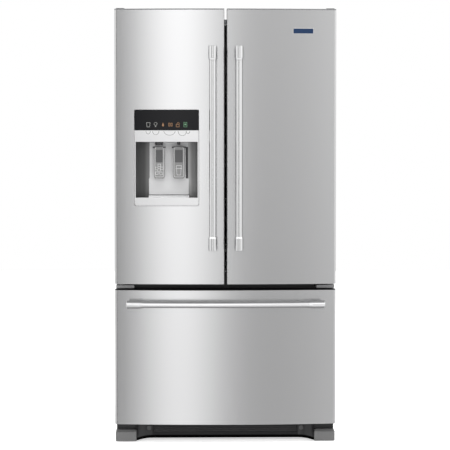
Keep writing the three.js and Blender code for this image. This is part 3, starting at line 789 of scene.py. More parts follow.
def pictogram(name, material, body, shapes, x, z, front, crowned=False):
    """Thin shapes about (x, z): outlines in millimetres, each with a stroke that is 0 for a filled one."""
    meshes = []
    for k, (outline, stroke) in enumerate(shapes):
        outer = [(x + u * MM, z + v * MM) for u, v in outline]
        if stroke:
            inner = [(x + u * MM, z + v * MM) for u, v in inside(outline, stroke)]
            rings = [ring_at(outer, front + 1 * MM, "y"), ring_at(outer, front, "y"),
                     ring_at(inner, front, "y"), ring_at(inner, front + 1 * MM, "y"),
                     ring_at(outer, front + 1 * MM, "y")]
            meshes.append(loft(f"{name}_{k}", rings, caps=False))
        else:
            rings = [ring_at(outer, front, "y"), ring_at(outer, front + 1 * MM, "y")]
            meshes.append(loft(f"{name}_{k}", rings))
    mesh = merged(name, *meshes)
    if crowned:
        for vertex in mesh.vertices:
            vertex.co.y += crown_y(vertex.co.x) - crown_y(x)
    finish_mesh(name, mesh, material, body, (), 20)


def inside(outline, stroke):
    """The outline shrunk about its middle by the stroke's width."""
    us, vs = [u for u, _ in outline], [v for _, v in outline]
    cu, cv = (min(us) + max(us)) / 2, (min(vs) + max(vs)) / 2
    ku = 1 - 2 * stroke / (max(us) - min(us))
    kv = 1 - 2 * stroke / (max(vs) - min(vs))
    return [(cu + (u - cu) * ku, cv + (v - cv) * kv) for u, v in outline]


def circle(cx, cy, radius, steps=20):
    return arc(cx, cy, radius, 0, 360 - 360 / steps, steps - 1)


def rectangle(x0, x1, y0, y1):
    return [(x0, y0), (x1, y0), (x1, y1), (x0, y1)]


def add_icons():
    """Six plain pictograms: cup, lamp, drop, two bars, lock and filter."""
    low, _ = dispenser_box()
    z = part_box("control_panel")[0].z + 23 * MM
    start, step = low.x + 56 * MM, 30.3 * MM
    cup = [([(-5.5, -10), (7, -10), (9, 9), (-7, 9)], 1.8)]
    lamp = [(circle(0, 3, 7), 1.7), (rectangle(-2.4, 2.4, -9, -5.5), 0)]
    drop = [(arc(0, -3, 4.2, 150, 390, 14) + [(0, 9)], 0)]
    bars = [(rectangle(-8, -1.2, -7, 7), 1.7), (rectangle(1.2, 8, -7, 7), 1.7)]
    shackle = arc(1, 3, 6, 0, 180, 12) + arc(1, 3, 4.3, 180, 0, 12)
    lock = [(rectangle(-8, 6, -10, 2), 1.9), (shackle, 0)]
    cartridge = [(rectangle(-7, 7, -10, 10), 1.5), (rectangle(-3.5, 3.5, -2, 4), 0)]
    rows = (("icon_cup", "icon_white", cup), ("icon_lamp", "icon_white", lamp),
            ("icon_drop", "icon_orange", drop), ("icon_bars", "icon_orange", bars),
            ("icon_lock", "icon_orange", lock), ("icon_filter", "icon_green", cartridge))
    for i, (name, material, shapes) in enumerate(rows):
        x = start + step * i
        pictogram(name, material, "left_door", shapes, x, z, crown_y(x) - 1.15 * MM, True)


def recess_part(name, material, outline, start, end, axis="x", angle=40):
    mesh = extruded(name, outline, start, end, axis)
    finish_mesh(name, mesh, material, "left_door", (), angle)


def add_recess():
    """Moulded recess: dark left wall, lighter back and right wall, floor rising to the rear."""
    low, high = dispenser_box()
    house_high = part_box("dispenser_housing")[1]
    z0, z1 = low.z + SILL_HEIGHT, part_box("control_panel")[0].z - BAR_HEIGHT
    rear = house_high.y - 8 * MM
    x0, x1 = low.x + 4 * MM, high.x - 4 * MM
    back0, back1 = low.x + 61 * MM, high.x - 44 * MM
    steps = 10

    def wall(name, material, front_x, back_x, thickness):
        """A curved side wall that turns into the back."""
        face, shell = [], []
        for i in range(steps + 1):
            t = i / steps
            x = front_x + (back_x - front_x) * (1 - math.cos(t * math.pi / 2))
            y = crown_y(front_x) + (rear - crown_y(front_x)) * math.sin(t * math.pi / 2)
            face.append((x, y))
            shell.append((x + thickness, y + abs(thickness) * t))
        outline = face + shell[::-1]
        recess_part(name, material, outline, z0 - 4 * MM, z1 + 4 * MM, "z")

    # Both side walls carry painted shade, light by the back and dark towards the front edge.
    wall("recess_left_wall", "recess_left_painted_shade", x0, back0, -3 * MM)
    wall("recess_right_wall", "recess_right_painted_shade", x1, back1, 3 * MM)
    slope = 9 * MM
    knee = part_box("ice_paddle")[0].z - 2 * MM
    back = [(house_high.y, z0 - 6 * MM), (rear - slope, z0 - 6 * MM), (rear - slope * 0.93, z0 + 12 * MM),
            (rear - slope * 0.12, knee - 8 * MM), (rear - slope * 0.02, knee), (rear, knee + 8 * MM),
            (rear, z1 + 6 * MM), (house_high.y, z1 + 6 * MM)]
    recess_part("recess_back", "recess_grey", back, back0 - 3 * MM, back1 + 3 * MM)
    ceiling = [(crown_y(low.x) + 4 * MM, z1), (rear + 2 * MM, z1 - 2 * MM),
               (rear + 2 * MM, z1 + 6 * MM), (crown_y(low.x) + 4 * MM, z1 + 6 * MM)]
    recess_part("recess_ceiling", "recess_dark", ceiling, x0, x1)
    sill_front = crown_y(low.x) + 3 * MM
    base = [(sill_front, z0 - 2 * MM), (rear + 2 * MM, z0 - 1 * MM), (rear + 2 * MM, z0 - 8 * MM),
            (sill_front, z0 - 8 * MM)]
    recess_part("recess_floor", "recess_dark", base, x0, x1)
    tray_x = (back0 - 4 * MM, back1 + 4 * MM)
    y0, y1 = sill_front + 14 * MM, rear - slope
    tray = [(y0, z0 - 1 * MM), (y0 + 3 * MM, z0 + 1 * MM), (y1, z0 + 9 * MM), (y1, z0 - 3 * MM),
            (y0, z0 - 3 * MM)]
    recess_part("drip_tray", "recess_grey", tray, *tray_x, angle=25)
    # Thin dark strip at the rear of the tray: painted shadow at the foot of the recess back.
    shadow_edge = [(y1 - 2 * MM, z0 + 9 * MM), (y1 + 3 * MM, z0 + 13 * MM), (y1 + 3 * MM, z0), (y1 - 2 * MM, z0)]
    recess_part("tray_shadow_strip", "recess_dark", shadow_edge, *tray_x, angle=25)
    for i in range(9):
        x = back0 + 6 * MM + i * (back1 - back0 - 12 * MM) / 8
        bar = [(y0 + 4 * MM, z0 + 1.7 * MM), (y1 - 3 * MM, z0 + 9 * MM), (y1 - 3 * MM, z0 + 5 * MM),
               (y0 + 4 * MM, z0 - 1 * MM)]
        recess_part(f"drip_rib_{i}", "recess_grey", bar, x - 1.2 * MM, x + 1.2 * MM)
    sill = crowned_patch("dispenser_sill", low.x, high.x, low.z, z0, 1.0 * MM, 9 * MM,
                         (10 * MM, 10 * MM, 0.5 * MM, 0.5 * MM))
    finish_mesh("dispenser_sill", sill, "silver_trim", "left_door", (), 30)
    for name, a, b in (("recess_post_left", low.x, x0 + 1 * MM), ("recess_post_right", x1 - 1 * MM, high.x)):
        post = crowned_patch(name, a, b, z0, z1, 1.0 * MM, 7 * MM, (0.3 * MM,) * 4, 0.5 * MM, 2)
        finish_mesh(name, post, "silver_trim", "left_door", (), 30)
    shell = soft_box("recess_shell", (low.x + 1 * MM, house_high.y - 1.5 * MM, low.z + 1 * MM),
                     (high.x - 1 * MM, house_high.y, house_high.z), 3 * MM, 0.4 * MM)
    finish_mesh("recess_shell", shell, "recess_dark", "left_door", ("dispenser_housing",))


def turned_square(cu, cv, half, degrees):
    corners = arc(0, 0, half * math.sqrt(2), degrees, degrees + 270, 3)
    return [(cu + u, cv + v) for u, v in corners]


def add_paddles():
    """Smoked levers with a pale rim, a dark window and a pictogram."""
    cubes = [(turned_square(u, v, 6, turn), 1.5) for u, v, turn in
             ((-10, -14, 45), (7, -15, 60), (-1, -1, 45), (-11, 5, 30), (10, 6, 50), (0, 18, 45))]
    glass = [([(-8, -22), (8, -22), (11, 18), (-11, 18)], 1.6), (rectangle(-13, 13, 4, 5.6), 0)]
    for name, body, marks in (("ice", "ice_lever", cubes), ("water", "water_lever", glass)):
        node = name + "_paddle"
        low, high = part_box(node)
        x0, x1 = low.x + 5 * MM, high.x - 5 * MM
        front = low.y
        pane = soft_box(name + "_pane", (x0, front, low.z), (x1, high.y - 1 * MM, high.z - 1 * MM),
                        (8 * MM, 8 * MM, 3 * MM, 3 * MM), 1.2 * MM, "y", 8)
        base = (low.x, front + 2.5 * MM, high.z - 5 * MM)
        pin = rod(name + "_pin", 3 * MM, high.x - low.x, base, (1, 0, 0), 20)
        finish_mesh(name + "_lever", pane, "paddle_grey", body, (node,))
        finish_mesh(name + "_pin", pin, "recess_dark", body)
        x, z = (x0 + x1) / 2, (low.z + high.z) / 2
        wide, tall = (x1 - x0) / 2 / MM - 3.5, (high.z - low.z) / 2 / MM - 6
        rim = [(rounded_rect(-wide, wide, -tall, tall, 5), 1.4)]
        pictogram(name + "_rim", "line_grey", body, rim, x, z, front - 0.5 * MM)
        inset = 8 * MM
        window = soft_box(name + "_window", (x0 + inset, front - 0.5 * MM, low.z + 66 * MM),
                          (x1 - inset, front + 1 * MM, high.z - 16 * MM), 2 * MM, 0.3 * MM, "y", 6)
        finish_mesh(name + "_window", window, "window_grey", body)
        pictogram(name + "_mark", "line_grey", body, marks, x, low.z + 36 * MM, front - 0.4 * MM)


def add_spouts():
    """Ice chute and water spout under the recess ceiling, and the dark strip of the slim side slot."""
    z1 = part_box("control_panel")[0].z - BAR_HEIGHT
    ice_low, ice_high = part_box("ice_paddle")
    water_low, water_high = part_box("water_paddle")
    for name, node_low, node_high, wide, drop in (("ice_chute", ice_low, ice_high, 17, 15),
                                                  ("water_spout", water_low, water_high, 7, 13)):
        x = (node_low.x + node_high.x) / 2
        y = node_low.y - 19 * MM
        profile = [(0, 0), (wide * MM, 0), (wide * 0.86 * MM, drop * MM), (wide * 0.7 * MM, drop * MM),
                   (wide * 0.66 * MM, 4 * MM), (0, 4 * MM)]
        mesh = turned(name, profile, (x, y, z1 + 1 * MM), (0, 0, -1), 32)
        finish_mesh(name, mesh, "recess_dark", "left_door")
    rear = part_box("dispenser_housing")[1].y - 8 * MM
    x = dispenser_box()[1].x - 44 * MM
    plate("recess_slot", "recess_dark", "left_door",
          (x - 9 * MM, rear - 1.2 * MM, water_low.z), (x, rear + 1 * MM, water_high.z - 4 * MM),
          1.5 * MM, 0.4 * MM, "y")


def add_badge():
    """A plain blue plate with a bright rim and nothing written on it."""
    x0, x1, z0, z1 = 274 * MM, 359 * MM, 1671 * MM, 1695 * MM
    radius = 3.5 * MM
    rim = crowned_patch("badge_rim", x0, x1, z0, z1, 1.8 * MM, 1.6 * MM, (radius,) * 4, 0.6 * MM)
    finish_mesh("badge_rim", rim, "chrome_rim", "right_door", (), 30)
    inner = 2.2 * MM
    face = crowned_patch("badge_face", x0 + inner, x1 - inner, z0 + inner, z1 - inner, 2.1 * MM,
                         1.2 * MM, (radius - inner,) * 4, 0.2 * MM)
    finish_mesh("badge_face", face, "badge_blue", "right_door", (), 30)


# ------------------------------------------------------------------ base and cabinet outside

COVER_FLARE = 4 * MM
# Painted shadow strip: how far it hangs below the grille, and how far it reaches up over the grille's lower
# edge.
SHADOW_STRIP_DROP = 6 * MM
SHADOW_STRIP_LAP = 6 * MM
BRACKET_FRONT, BRACKET_REAR = -318 * MM, -313 * MM


def add_base():
    for word, side in SIDES:
        node = "foot_cover_" + word
        low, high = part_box(node)
        x0, x1 = (low.x - COVER_FLARE, high.x) if side < 0 else (low.x, high.x + COVER_FLARE)
        bevel = 9 * MM
        levels = [(low.z, 1 * MM), (low.z + 2 * MM, 0), (high.z - bevel, 0), (high.z - 1 * MM, bevel),
                  (high.z, bevel + 2 * MM)]
        outer, inner = (9 * MM, 4 * MM) if side < 0 else (4 * MM, 9 * MM)
        rings = []
        for z, inset in levels:
            outline = rounded_rect(x0 + inset * 0.4, x1 - inset * 0.4, low.y + inset, high.y,
                                   (outer, inner, 1 * MM, 1 * MM), 6)
            rings.append(ring_at(outline, z, "z"))
        finish_mesh(node + "_shell", loft(node + "_shell", rings), "cover_grey", "cabinet",
                    (node,), 30)
        add_corner_arm(word, side)
    add_grille()
    for word, _ in SIDES:
        dress("centre_hinge_" + word, "hinge_grey", 1.2 * MM)


def arm_wall(name, side, material, low_edge, high_edge):
    """Upright wall that curves back from a foot cover's front corner to the grille.

    Each edge is a pair of heights, at the grille and at the foot cover, with a sweep between them.
    """
    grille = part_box("base_grille")
    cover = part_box("foot_cover_right")
    x0, x1 = grille[1].x - 2 * MM, cover[0].x - 0.5 * MM
    y0, y1 = grille[0].y, cover[0].y + 6 * MM
    reach, depth, wall = x1 - x0, y0 - y1, 3 * MM
    face = [(x0 + reach * math.sin(t), y0 - depth * (1 - math.cos(t)))
            for t in quarter_turn(14)]
    rear = [(x, y + wall) for x, y in face]
    outline = [(side * x, y) for x, y in face + rear[::-1]]
    rings = []
    for start, end in (low_edge, high_edge):
        ring = []
        for x, y in outline:
            t = min((abs(x) - x0) / reach * 1.15, 1)
            ring.append((x, y, end + (start - end) * (1 - t ** 2)))
        rings.append(ring)
    finish_mesh(name, loft(name, rings), material, "cabinet")


def add_corner_arm(word, side):
    """Black wall between a foot cover and the grille, a near-black strip under it that paints the shadow
    beneath the refrigerator, a clip and the leg's bracket.
    """
    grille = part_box("base_grille")
    cover_low, cover_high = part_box("foot_cover_" + word)
    z1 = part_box("drawer_skin")[0].z - 4 * MM
    shadow_edge = (grille[0].z + SHADOW_STRIP_LAP, cover_low.z + 12 * MM)
    shadow_bottom = (grille[0].z - SHADOW_STRIP_DROP, cover_low.z + 1 * MM)
    arm_wall("corner_arm_" + word, side, "black_paint", shadow_edge, (z1, z1))
    # Below the arm, a near-black strip paints the shadow beneath the refrigerator.
    arm_wall("arm_shadow_strip_" + word, side, "painted_shadow_black", shadow_bottom, shadow_edge)
    x, y0 = side * (grille[1].x + 12 * MM), grille[0].y
    plate("grille_clip_" + word, "slat_grey", "cabinet",
          (x - 9 * MM, y0 - 6 * MM, 42 * MM), (x + 9 * MM, y0 - 4 * MM, 60 * MM), 7 * MM, 1.2 * MM, "y")
    plate("leg_bracket_" + word, "black_paint", "cabinet",
          (cover_low.x, BRACKET_FRONT, cover_high.z - 6 * MM),
          (cover_high.x, BRACKET_REAR, z1), 2 * MM, 0.6 * MM, "y")


def add_grille():
    """Base grille: a frame with a solid lower bar, four slats, and a near-black strip below it that paints
    the shadow beneath the refrigerator.
    """
    low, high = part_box("base_grille")
    z0, z1 = low.z, high.z
    y0, y1 = low.y, low.y + 8 * MM
    solid = 16 * MM
    meshes = [soft_box("g", (low.x, y0, z1 - 6 * MM), (high.x, y1, z1), 1 * MM, 0.8 * MM, "x"),
              soft_box("g", (low.x, y0, z0), (high.x, y1, z0 + solid + 3 * MM), 2 * MM, 1 * MM, "x"),
              soft_box("g", (low.x, y1 - 1 * MM, z0), (high.x, y1, z1), 0.4 * MM, 0.2 * MM, "x")]
    for x in (low.x + 4 * MM, high.x - 4 * MM):
        meshes.append(soft_box("g", (x - 4 * MM, y0 + 1 * MM, z0), (x + 4 * MM, y1, z1), 1 * MM, 0.6 * MM))
    finish_mesh("grille", merged("grille", *meshes), "black_plastic", "cabinet",
                ("base_grille",), 30)
    slats = []
    for i in range(4):
        z = z0 + solid + 4 * MM + i * (z1 - z0 - solid - 10 * MM) / 4
        slat = [(y0, z), (y0 + 1.2 * MM, z - 0.8 * MM), (y1 - 1 * MM, z + 5 * MM), (y1 - 2 * MM, z + 6 * MM)]
        slats.append(extruded("s", slat, low.x + 8 * MM, high.x - 8 * MM, "x"))
    finish_mesh("grille_slats", merged("grille_slats", *slats), "slat_grey", "cabinet",
                (), 30)
    # Near-black strip under the grille: painted shadow of the gap beneath the refrigerator.
    lip = soft_box("grille_shadow_strip", (low.x - 2 * MM, y0 - 0.6 * MM, z0 - SHADOW_STRIP_DROP),
                   (high.x + 2 * MM, y0 + 3 * MM, z0 + SHADOW_STRIP_LAP), 1 * MM, 0.6 * MM, "x")
    finish_mesh("grille_shadow_strip", lip, "painted_shadow_black", "cabinet", (), 30)


def screw(name, place, direction, body="cabinet", radius=5 * MM, material="zinc"):
    """A pan-head screw with a round recessed socket."""
    profile = [(0, 0), (radius, 0), (radius, 0.8 * MM), (radius * 0.75, 2.2 * MM), (radius * 0.5, 2.6 * MM),
               (radius * 0.45, 2.6 * MM), (radius * 0.42, 1.2 * MM), (0, 1.2 * MM)]
    finish_mesh(name, turned(name, profile, place, direction, 24), material, body)


def add_cabinet_outside():
    dress("cabinet_wrapper", "cabinet_grey", 2 * MM, 3)
    dress("centre_rail", "black_paint", 0.6 * MM)
    dress("machine_cover", "black_plastic", 0.6 * MM, 1)
    dress("base_frame", "black_paint", 0.6 * MM, 1)
    low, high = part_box("rear_panel")
    dress("rear_panel", "zinc", 0.3 * MM, 1)
    for i in range(7):
        z = low.z + 150 * MM + i * 190 * MM
        plate(f"rear_bead_{i}", "zinc", "cabinet",
              (low.x + 60 * MM, high.y - 0.5 * MM, z), (high.x - 60 * MM, high.y + 3 * MM, z + 26 * MM),
              12 * MM, 2 * MM, "y")
    count = 0
    for x in (low.x + 14 * MM, 0, high.x - 14 * MM):
        for z in (low.z + 25 * MM, (low.z + high.z) / 2, high.z - 25 * MM):
            screw(f"rear_screw_{count}", (x, high.y - 0.4 * MM, z), (0, 1, 0))
            count += 1
    low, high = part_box("machine_cover")
    for k, x in enumerate((low.x + 25 * MM, -90 * MM, 90 * MM, high.x - 25 * MM)):
        screw(f"cover_screw_{k}", (x, high.y - 2.8 * MM, high.z - 18 * MM), (0, 1, 0), radius=4.5 * MM)
    add_water_inlet()
    for word, side in SIDES:
        dress("top_hinge_" + word, "hinge_cover", 3 * MM, 3)
        low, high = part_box("top_hinge_" + word)
        x = (low.x + high.x) / 2 - side * 4 * MM
        screw("hinge_screw_" + word, (x, high.y - 35 * MM, high.z - 2.7 * MM), (0, 0, 1), radius=5 * MM,
              material="black_plastic")


def add_water_inlet():
    """Closed lid over the water inlet on the machine cover."""
    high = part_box("machine_cover")[1]
    plate("inlet_box", "black_plastic", "cabinet",
          (-60 * MM, high.y - 4 * MM, high.z - 105 * MM), (20 * MM, high.y - 0.2 * MM, high.z - 40 * MM),
          6 * MM, 1 * MM, "y")


# ------------------------------------------------------------------ undercarriage and cooling


def add_undercarriage():
    for word, _ in SIDES:
        low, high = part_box("rear_roller_" + word)
        centre = (low + high) / 2
        r = (high.z - low.z) / 2
        half = 11 * MM
        length = high.x - low.x
        inset = length / 2 - half
        shape = [(0, 0), (3.6 * MM, 0), (4 * MM, 0.6 * MM), (4 * MM, inset), (8 * MM, inset),
                 (9 * MM, inset + 2 * MM), (14 * MM, inset + 2 * MM), (15 * MM, inset), (r - 2 * MM, inset),
                 (r, inset + 2 * MM), (r, length - inset - 2 * MM), (r - 2 * MM, length - inset),
                 (4 * MM, length - inset), (4 * MM, length), (0, length)]
        mesh = turned("roller_" + word, shape, (low.x, centre.y, centre.z), (1, 0, 0))
        finish_mesh("roller_" + word, mesh, "black_plastic", word + "_roller",
                    ("rear_roller_" + word,))
        low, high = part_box("levelling_leg_" + word)
        centre = (low + high) / 2
        foot = in_mm([(0, 0), (15, 0), (16, 1), (16, 5), (15, 6), (9, 8.5), (6, 9)])
        thread = [(5.9 * MM - (i % 2) * 0.8 * MM, 10 * MM + i * 1.1 * MM) for i in range(60)]
        mesh = turned("leg_" + word, foot + thread + [(0, high.z)], (centre.x, centre.y, 0), (0, 0, 1), 32)
        finish_mesh("leg_" + word, mesh, "zinc", word + "_leg", ("levelling_leg_" + word,), 25)


def add_compressor():
    low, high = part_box("compressor")
    centre = (low + high) / 2
    shape = in_mm([(0, 6), (50, 6), (62, 12), (70, 26), (73, 55), (74, 70), (74, 76), (72, 80), (72, 86),
                   (70, 100), (63, 124), (50, 142), (30, 153), (0, 157)])
    pot = turned("pot", shape, (centre.x, centre.y, low.z), (0, 0, 1), 64)
    feet = soft_box("feet", (low.x, centre.y - 60 * MM, low.z), (high.x, centre.y + 60 * MM, low.z + 9 * MM),
                    14 * MM, 1.5 * MM)
    finish_mesh("compressor_pot", merged("compressor_pot", pot, feet), "black_paint", "cabinet",
                ("compressor",))
    z = low.z + 90 * MM
    path = [(centre.x + 70 * MM + math.sin(t) * 6 * MM, centre.y + 20 * MM - t * 10 * MM, z + t * 14 * MM)
            for t in (i * 0.5 for i in range(14))]
    finish_mesh("suction_pipe", sweep("suction_pipe", path, 4 * MM, 14), "copper_pipe", "cabinet")


# ------------------------------------------------------------------ inside the fresh food room

MIDDLE_SHELF_Z = 1215 * MM
TUB_HALF = 370 * MM
RUNNER_INNER = 366 * MM
RAIL_INNER = 388 * MM


def add_liners():
    dress("fresh_food_liner", "white_plastic", 6 * MM, 4)
    dress("freezer_liner", "white_plastic", 6 * MM, 4)
    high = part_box("fresh_food_liner")[1]
    rear = high.y - 4 * MM
    plate("air_tower", "white_plastic", "cabinet", (-90 * MM, rear - 34 * MM, 1010 * MM),
          (90 * MM, rear - 0.3 * MM, high.z - 30 * MM), (22 * MM, 22 * MM, 2 * MM, 2 * MM), 8 * MM)
    for i in range(9):
        z = 1120 * MM + i * 60 * MM
        for word, side in SIDES:
            x = side * 48 * MM
            plate(f"air_slot_{i}_{word}", "mid_grey", "cabinet",
                  (x - 24 * MM, rear - 34.6 * MM, z), (x + 24 * MM, rear - 33 * MM, z + 7 * MM),
                  3 * MM, 0.3 * MM, "y")
    for word, side in SIDES:
        for k, x in enumerate((133, 276)):
            name = f"shelf_track_{word}_{k}"
            plate(name, "zinc", "cabinet",
                  (side * x * MM - 10 * MM, rear - 4 * MM, 1020 * MM),
                  (side * x * MM + 10 * MM, rear - 0.3 * MM, high.z - 50 * MM), 1.5 * MM, 0.5 * MM)
        plate(f"room_lamp_{word}", "led_white", "cabinet",
              (side * 330 * MM - 20 * MM, -90 * MM, high.z - 9 * MM),
              (side * 330 * MM + 20 * MM, 60 * MM, high.z - 4.2 * MM), 10 * MM, 2 * MM)


def add_shelf(name, x0, x1, front, rear, z, thick, replaces=()):
    """Glass pane in a moulded frame with a rounded front rail."""
    pane = soft_box(name + "_pane", (x0 + 6 * MM, front + 14 * MM, z + 1 * MM),
                    (x1 - 6 * MM, rear - 6 * MM, z + thick - 3 * MM), 3 * MM, 0.8 * MM)
    finish_mesh(name + "_pane", pane, "shelf_glass", "cabinet", replaces)
    rails = [soft_box("r", (x0, front, z - 6 * MM), (x1, front + 15 * MM, z + thick + 3 * MM), 4 * MM,
                      3 * MM, "x", 5, 3),
             soft_box("r", (x0, rear - 8 * MM, z - 1 * MM), (x1, rear, z + thick), 2 * MM, 1 * MM, "x"),
             soft_box("r", (x0, front + 12 * MM, z - 1 * MM), (x0 + 8 * MM, rear - 6 * MM, z + thick), 2 * MM,
                      1 * MM, "y"),
             soft_box("r", (x1 - 8 * MM, front + 12 * MM, z - 1 * MM), (x1, rear - 6 * MM, z + thick), 2 * MM,
                      1 * MM, "y")]
    finish_mesh(name + "_frame", merged(name + "_frame", *rails), "white_plastic", "cabinet")


def add_shelf_arms(name, x0, x1, z):
    """Cantilever arms, deeper at the rear where they hook in the track."""
    meshes = []
    for x in (x0 + 24 * MM, x1 - 32 * MM):
        outline = [(-100 * MM, z - 2 * MM), (-100 * MM, z - 6 * MM), (345 * MM, z - 38 * MM),
                   (345 * MM, z - 2 * MM)]
        meshes.append(extruded("a", outline, x, x + 3 * MM, "x"))
    finish_mesh(name, merged(name, *meshes), "white_plastic", "cabinet")


def add_shelves():
    for word, _ in SIDES:
        low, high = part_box("shelf_upper_" + word)
        z = high.z - 12 * MM
        add_shelf("upper_shelf_" + word, low.x, high.x, low.y, high.y, z, 8 * MM, ("shelf_upper_" + word,))
        add_shelf_arms("shelf_arms_" + word, low.x, high.x, z)
    low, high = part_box("shelf_upper_left")
    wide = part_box("crisper_shelf")[1].x - 1 * MM
    add_shelf("middle_shelf", -wide, wide, low.y + 10 * MM, high.y, MIDDLE_SHELF_Z, 8 * MM)
    add_shelf_arms("middle_shelf_arms", -wide, wide, MIDDLE_SHELF_Z)


def add_crisper_shelf():
    low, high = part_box("crisper_shelf")
    top, deck = high.z - 4 * MM, low.z
    front, rear = low.y, high.y
    add_shelf("crisper_cover", low.x, high.x, front, rear, top - 6 * MM, 8 * MM, ("crisper_shelf",))
    rails = [soft_box("d", (low.x, front + 6 * MM, deck), (high.x, rear, deck + 6 * MM), 2 * MM,
                      1.5 * MM, "x"),
             soft_box("d", (-4 * MM, front + 6 * MM, deck + 3 * MM), (4 * MM, rear, top - 6 * MM), 2 * MM,
                      1 * MM, "z")]
    finish_mesh("crisper_deck", merged("crisper_deck", *rails), "white_plastic", "cabinet")


def pull_lip(name, low, high, body):
    """Rounded pull along the top of a drawer's front."""
    z = high.z
    outline = [(low.y, z - 26 * MM), (low.y - 5 * MM, z - 20 * MM), (low.y - 7 * MM, z - 8 * MM),
               (low.y - 5 * MM, z - 2 * MM), (low.y + 3 * MM, z - 1 * MM), (low.y + 3 * MM, z - 6 * MM),
               (low.y - 1 * MM, z - 9 * MM), (low.y + 0.5 * MM, z - 25 * MM)]
    x0, x1 = low.x + 14 * MM, high.x - 14 * MM
    mesh = extruded(name, outline, x0, x1, "x")
    finish_mesh(name, mesh, "white_plastic", body, (), 60)


def add_inner_drawers():
    rows = (("crisper_left", "left_crisper", "clear_plastic"),
            ("crisper_right", "right_crisper", "clear_plastic"),
            ("pantry_drawer", "pantry", "clear_plastic"),
            ("freezer_basket", "upper_basket", "frosted_plastic"))
    for node, body, material in rows:
        low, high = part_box(node)
        if node == "freezer_basket":
            low.x, high.x = -TUB_HALF, TUB_HALF
        mesh = tub_mesh(node + "_tub", low, high, "+z", 3 * MM, 16 * MM, 2 * MM, 5 * MM)
        finish_mesh(node + "_tub", mesh, material, body, (node,))
        pull_lip(node + "_pull", low, high, body)
    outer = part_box("freezer_basket")[1].x
    for word, side in SIDES:
        x0, x1 = sorted((side * RUNNER_INNER, side * outer))
        low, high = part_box("freezer_basket")
        plate("basket_runner_" + word, "white_plastic", "upper_basket",
              (x0, low.y + 4 * MM, 508.5 * MM), (x1, high.y, 513 * MM), 2 * MM, 1 * MM)


def add_freezer_drawer_inside():
    low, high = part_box("drawer_basket")
    bin_low = Vector((-TUB_HALF, -290 * MM, low.z))
    bin_high = Vector((TUB_HALF, 110 * MM, 400 * MM))
    mesh = tub_mesh("deep_bin", bin_low, bin_high, "+z", 3.5 * MM, 22 * MM, 5 * MM, 6 * MM)
    finish_mesh("deep_bin", mesh, "frosted_plastic", "freezer_drawer", ("drawer_basket",))
    for word, side in SIDES:
        x0, x1 = sorted((side * RAIL_INNER, side * high.x))
        plate("drawer_rail_" + word, "zinc", "freezer_drawer", (x0, low.y, 395 * MM),
              (x1, high.y, 425 * MM), 2 * MM, 1 * MM, "y")
        x0, x1 = sorted((side * RUNNER_INNER, side * 389 * MM))
        plate("rail_flange_" + word, "zinc", "freezer_drawer", (x0, -285 * MM, 394 * MM),
              (x1, 105 * MM, 398 * MM), 1 * MM, 0.6 * MM, "y")
        dress("middle_rail_" + word, "zinc", 1.2 * MM)
        dress("cabinet_rail_" + word, "zinc", 1.2 * MM)


# ------------------------------------------------------------------ inner sides of the doors


def add_gasket(node, body, name):
    """Bellows seal: a magnetic outer bead and a softer inner lip, rounded at the corners."""
    low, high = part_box(node)
    wide = 11 * MM
    depth = high.y - low.y
    section = [(0.0, 0.0), (0.5, 0.45), (0.2, 0.75), (0.8, 1.0), (wide / MM - 0.8, 1.0),
               (wide / MM - 0.2, 0.75), (wide / MM - 1.6, 0.45), (wide / MM, 0.0)]
    rings = []
    for inward, along in section:
        inset = inward * MM
        y = low.y + depth * along
        outline = rounded_rect(low.x + inset, high.x - inset, low.z + inset, high.z - inset,
                               max(12 * MM - inset, 1 * MM), 5)
        rings.append(ring_at(outline, y, "y"))
    rings.append(rings[0])
    mesh = loft(name, rings, caps=False)
    finish_mesh(name, mesh, "rubber_grey", body, (node,), 50)


def add_inner_panels():
    add_gasket("door_gasket_left", "left_door", "seal_left")
    add_gasket("door_gasket_right", "right_door", "seal_right")
    add_gasket("drawer_gasket", "freezer_drawer", "seal_drawer")
    for node in ("door_panel_left", "door_panel_right", "drawer_panel"):
        dress(node, "white_plastic", 1.6 * MM, 3)
    dress("flip_mullion", "black_plastic", 3 * MM, 3)
    low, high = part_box("drawer_panel")
    rear = high.y
    plate("drawer_liner_field", "white_plastic", "freezer_drawer",
          (-RUNNER_INNER, rear - 1 * MM, low.z + 42 * MM), (RUNNER_INNER, rear + 4 * MM, 392 * MM),
          18 * MM, 3 * MM, "y")


def add_door_bins():
    for node in ("door_bin_middle", "door_bin_lower"):
        low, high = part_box(node)
        mesh = tub_mesh(node + "_tub", low, high, "+z", 3 * MM, 18 * MM, 4 * MM, 3 * MM)
        finish_mesh(node + "_tub", mesh, "clear_plastic", "right_door", (node,))
        plate(node + "_rail", "white_plastic", "right_door",
              (low.x + 8 * MM, high.y - 1.5 * MM, high.z - 22 * MM),
              (high.x - 8 * MM, high.y + 1.5 * MM, high.z - 6 * MM), 5 * MM, 1.2 * MM, "y")
    low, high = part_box("dairy_bin")
    mesh = tub_mesh("dairy_tub", low, high, "+y", 3 * MM, 8 * MM, 1 * MM, 0.5 * MM)
    finish_mesh("dairy_tub", mesh, "white_plastic", "right_door", ("dairy_bin",))
    low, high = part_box("dairy_lid")
    flap = soft_box("flap", (low.x + 5 * MM, low.y, low.z),
                    (high.x - 5 * MM, low.y + 3 * MM, high.z - 1 * MM), 6 * MM, 0.8 * MM, "y")
    pull = soft_box("pull", (low.x + 110 * MM, low.y + 2 * MM, low.z + 6 * MM),
                    (high.x - 110 * MM, low.y + 4.6 * MM, low.z + 18 * MM), 5 * MM, 1 * MM, "y")
    base = (low.x, (low.y + high.y) / 2, high.z - 2.5 * MM)
    pin = rod("pin", 2.4 * MM, high.x - low.x, base, (1, 0, 0), 16)
    finish_mesh("dairy_cover", merged("dairy_cover", flap, pull, pin), "clear_plastic", "dairy_flap",
                ("dairy_lid",))


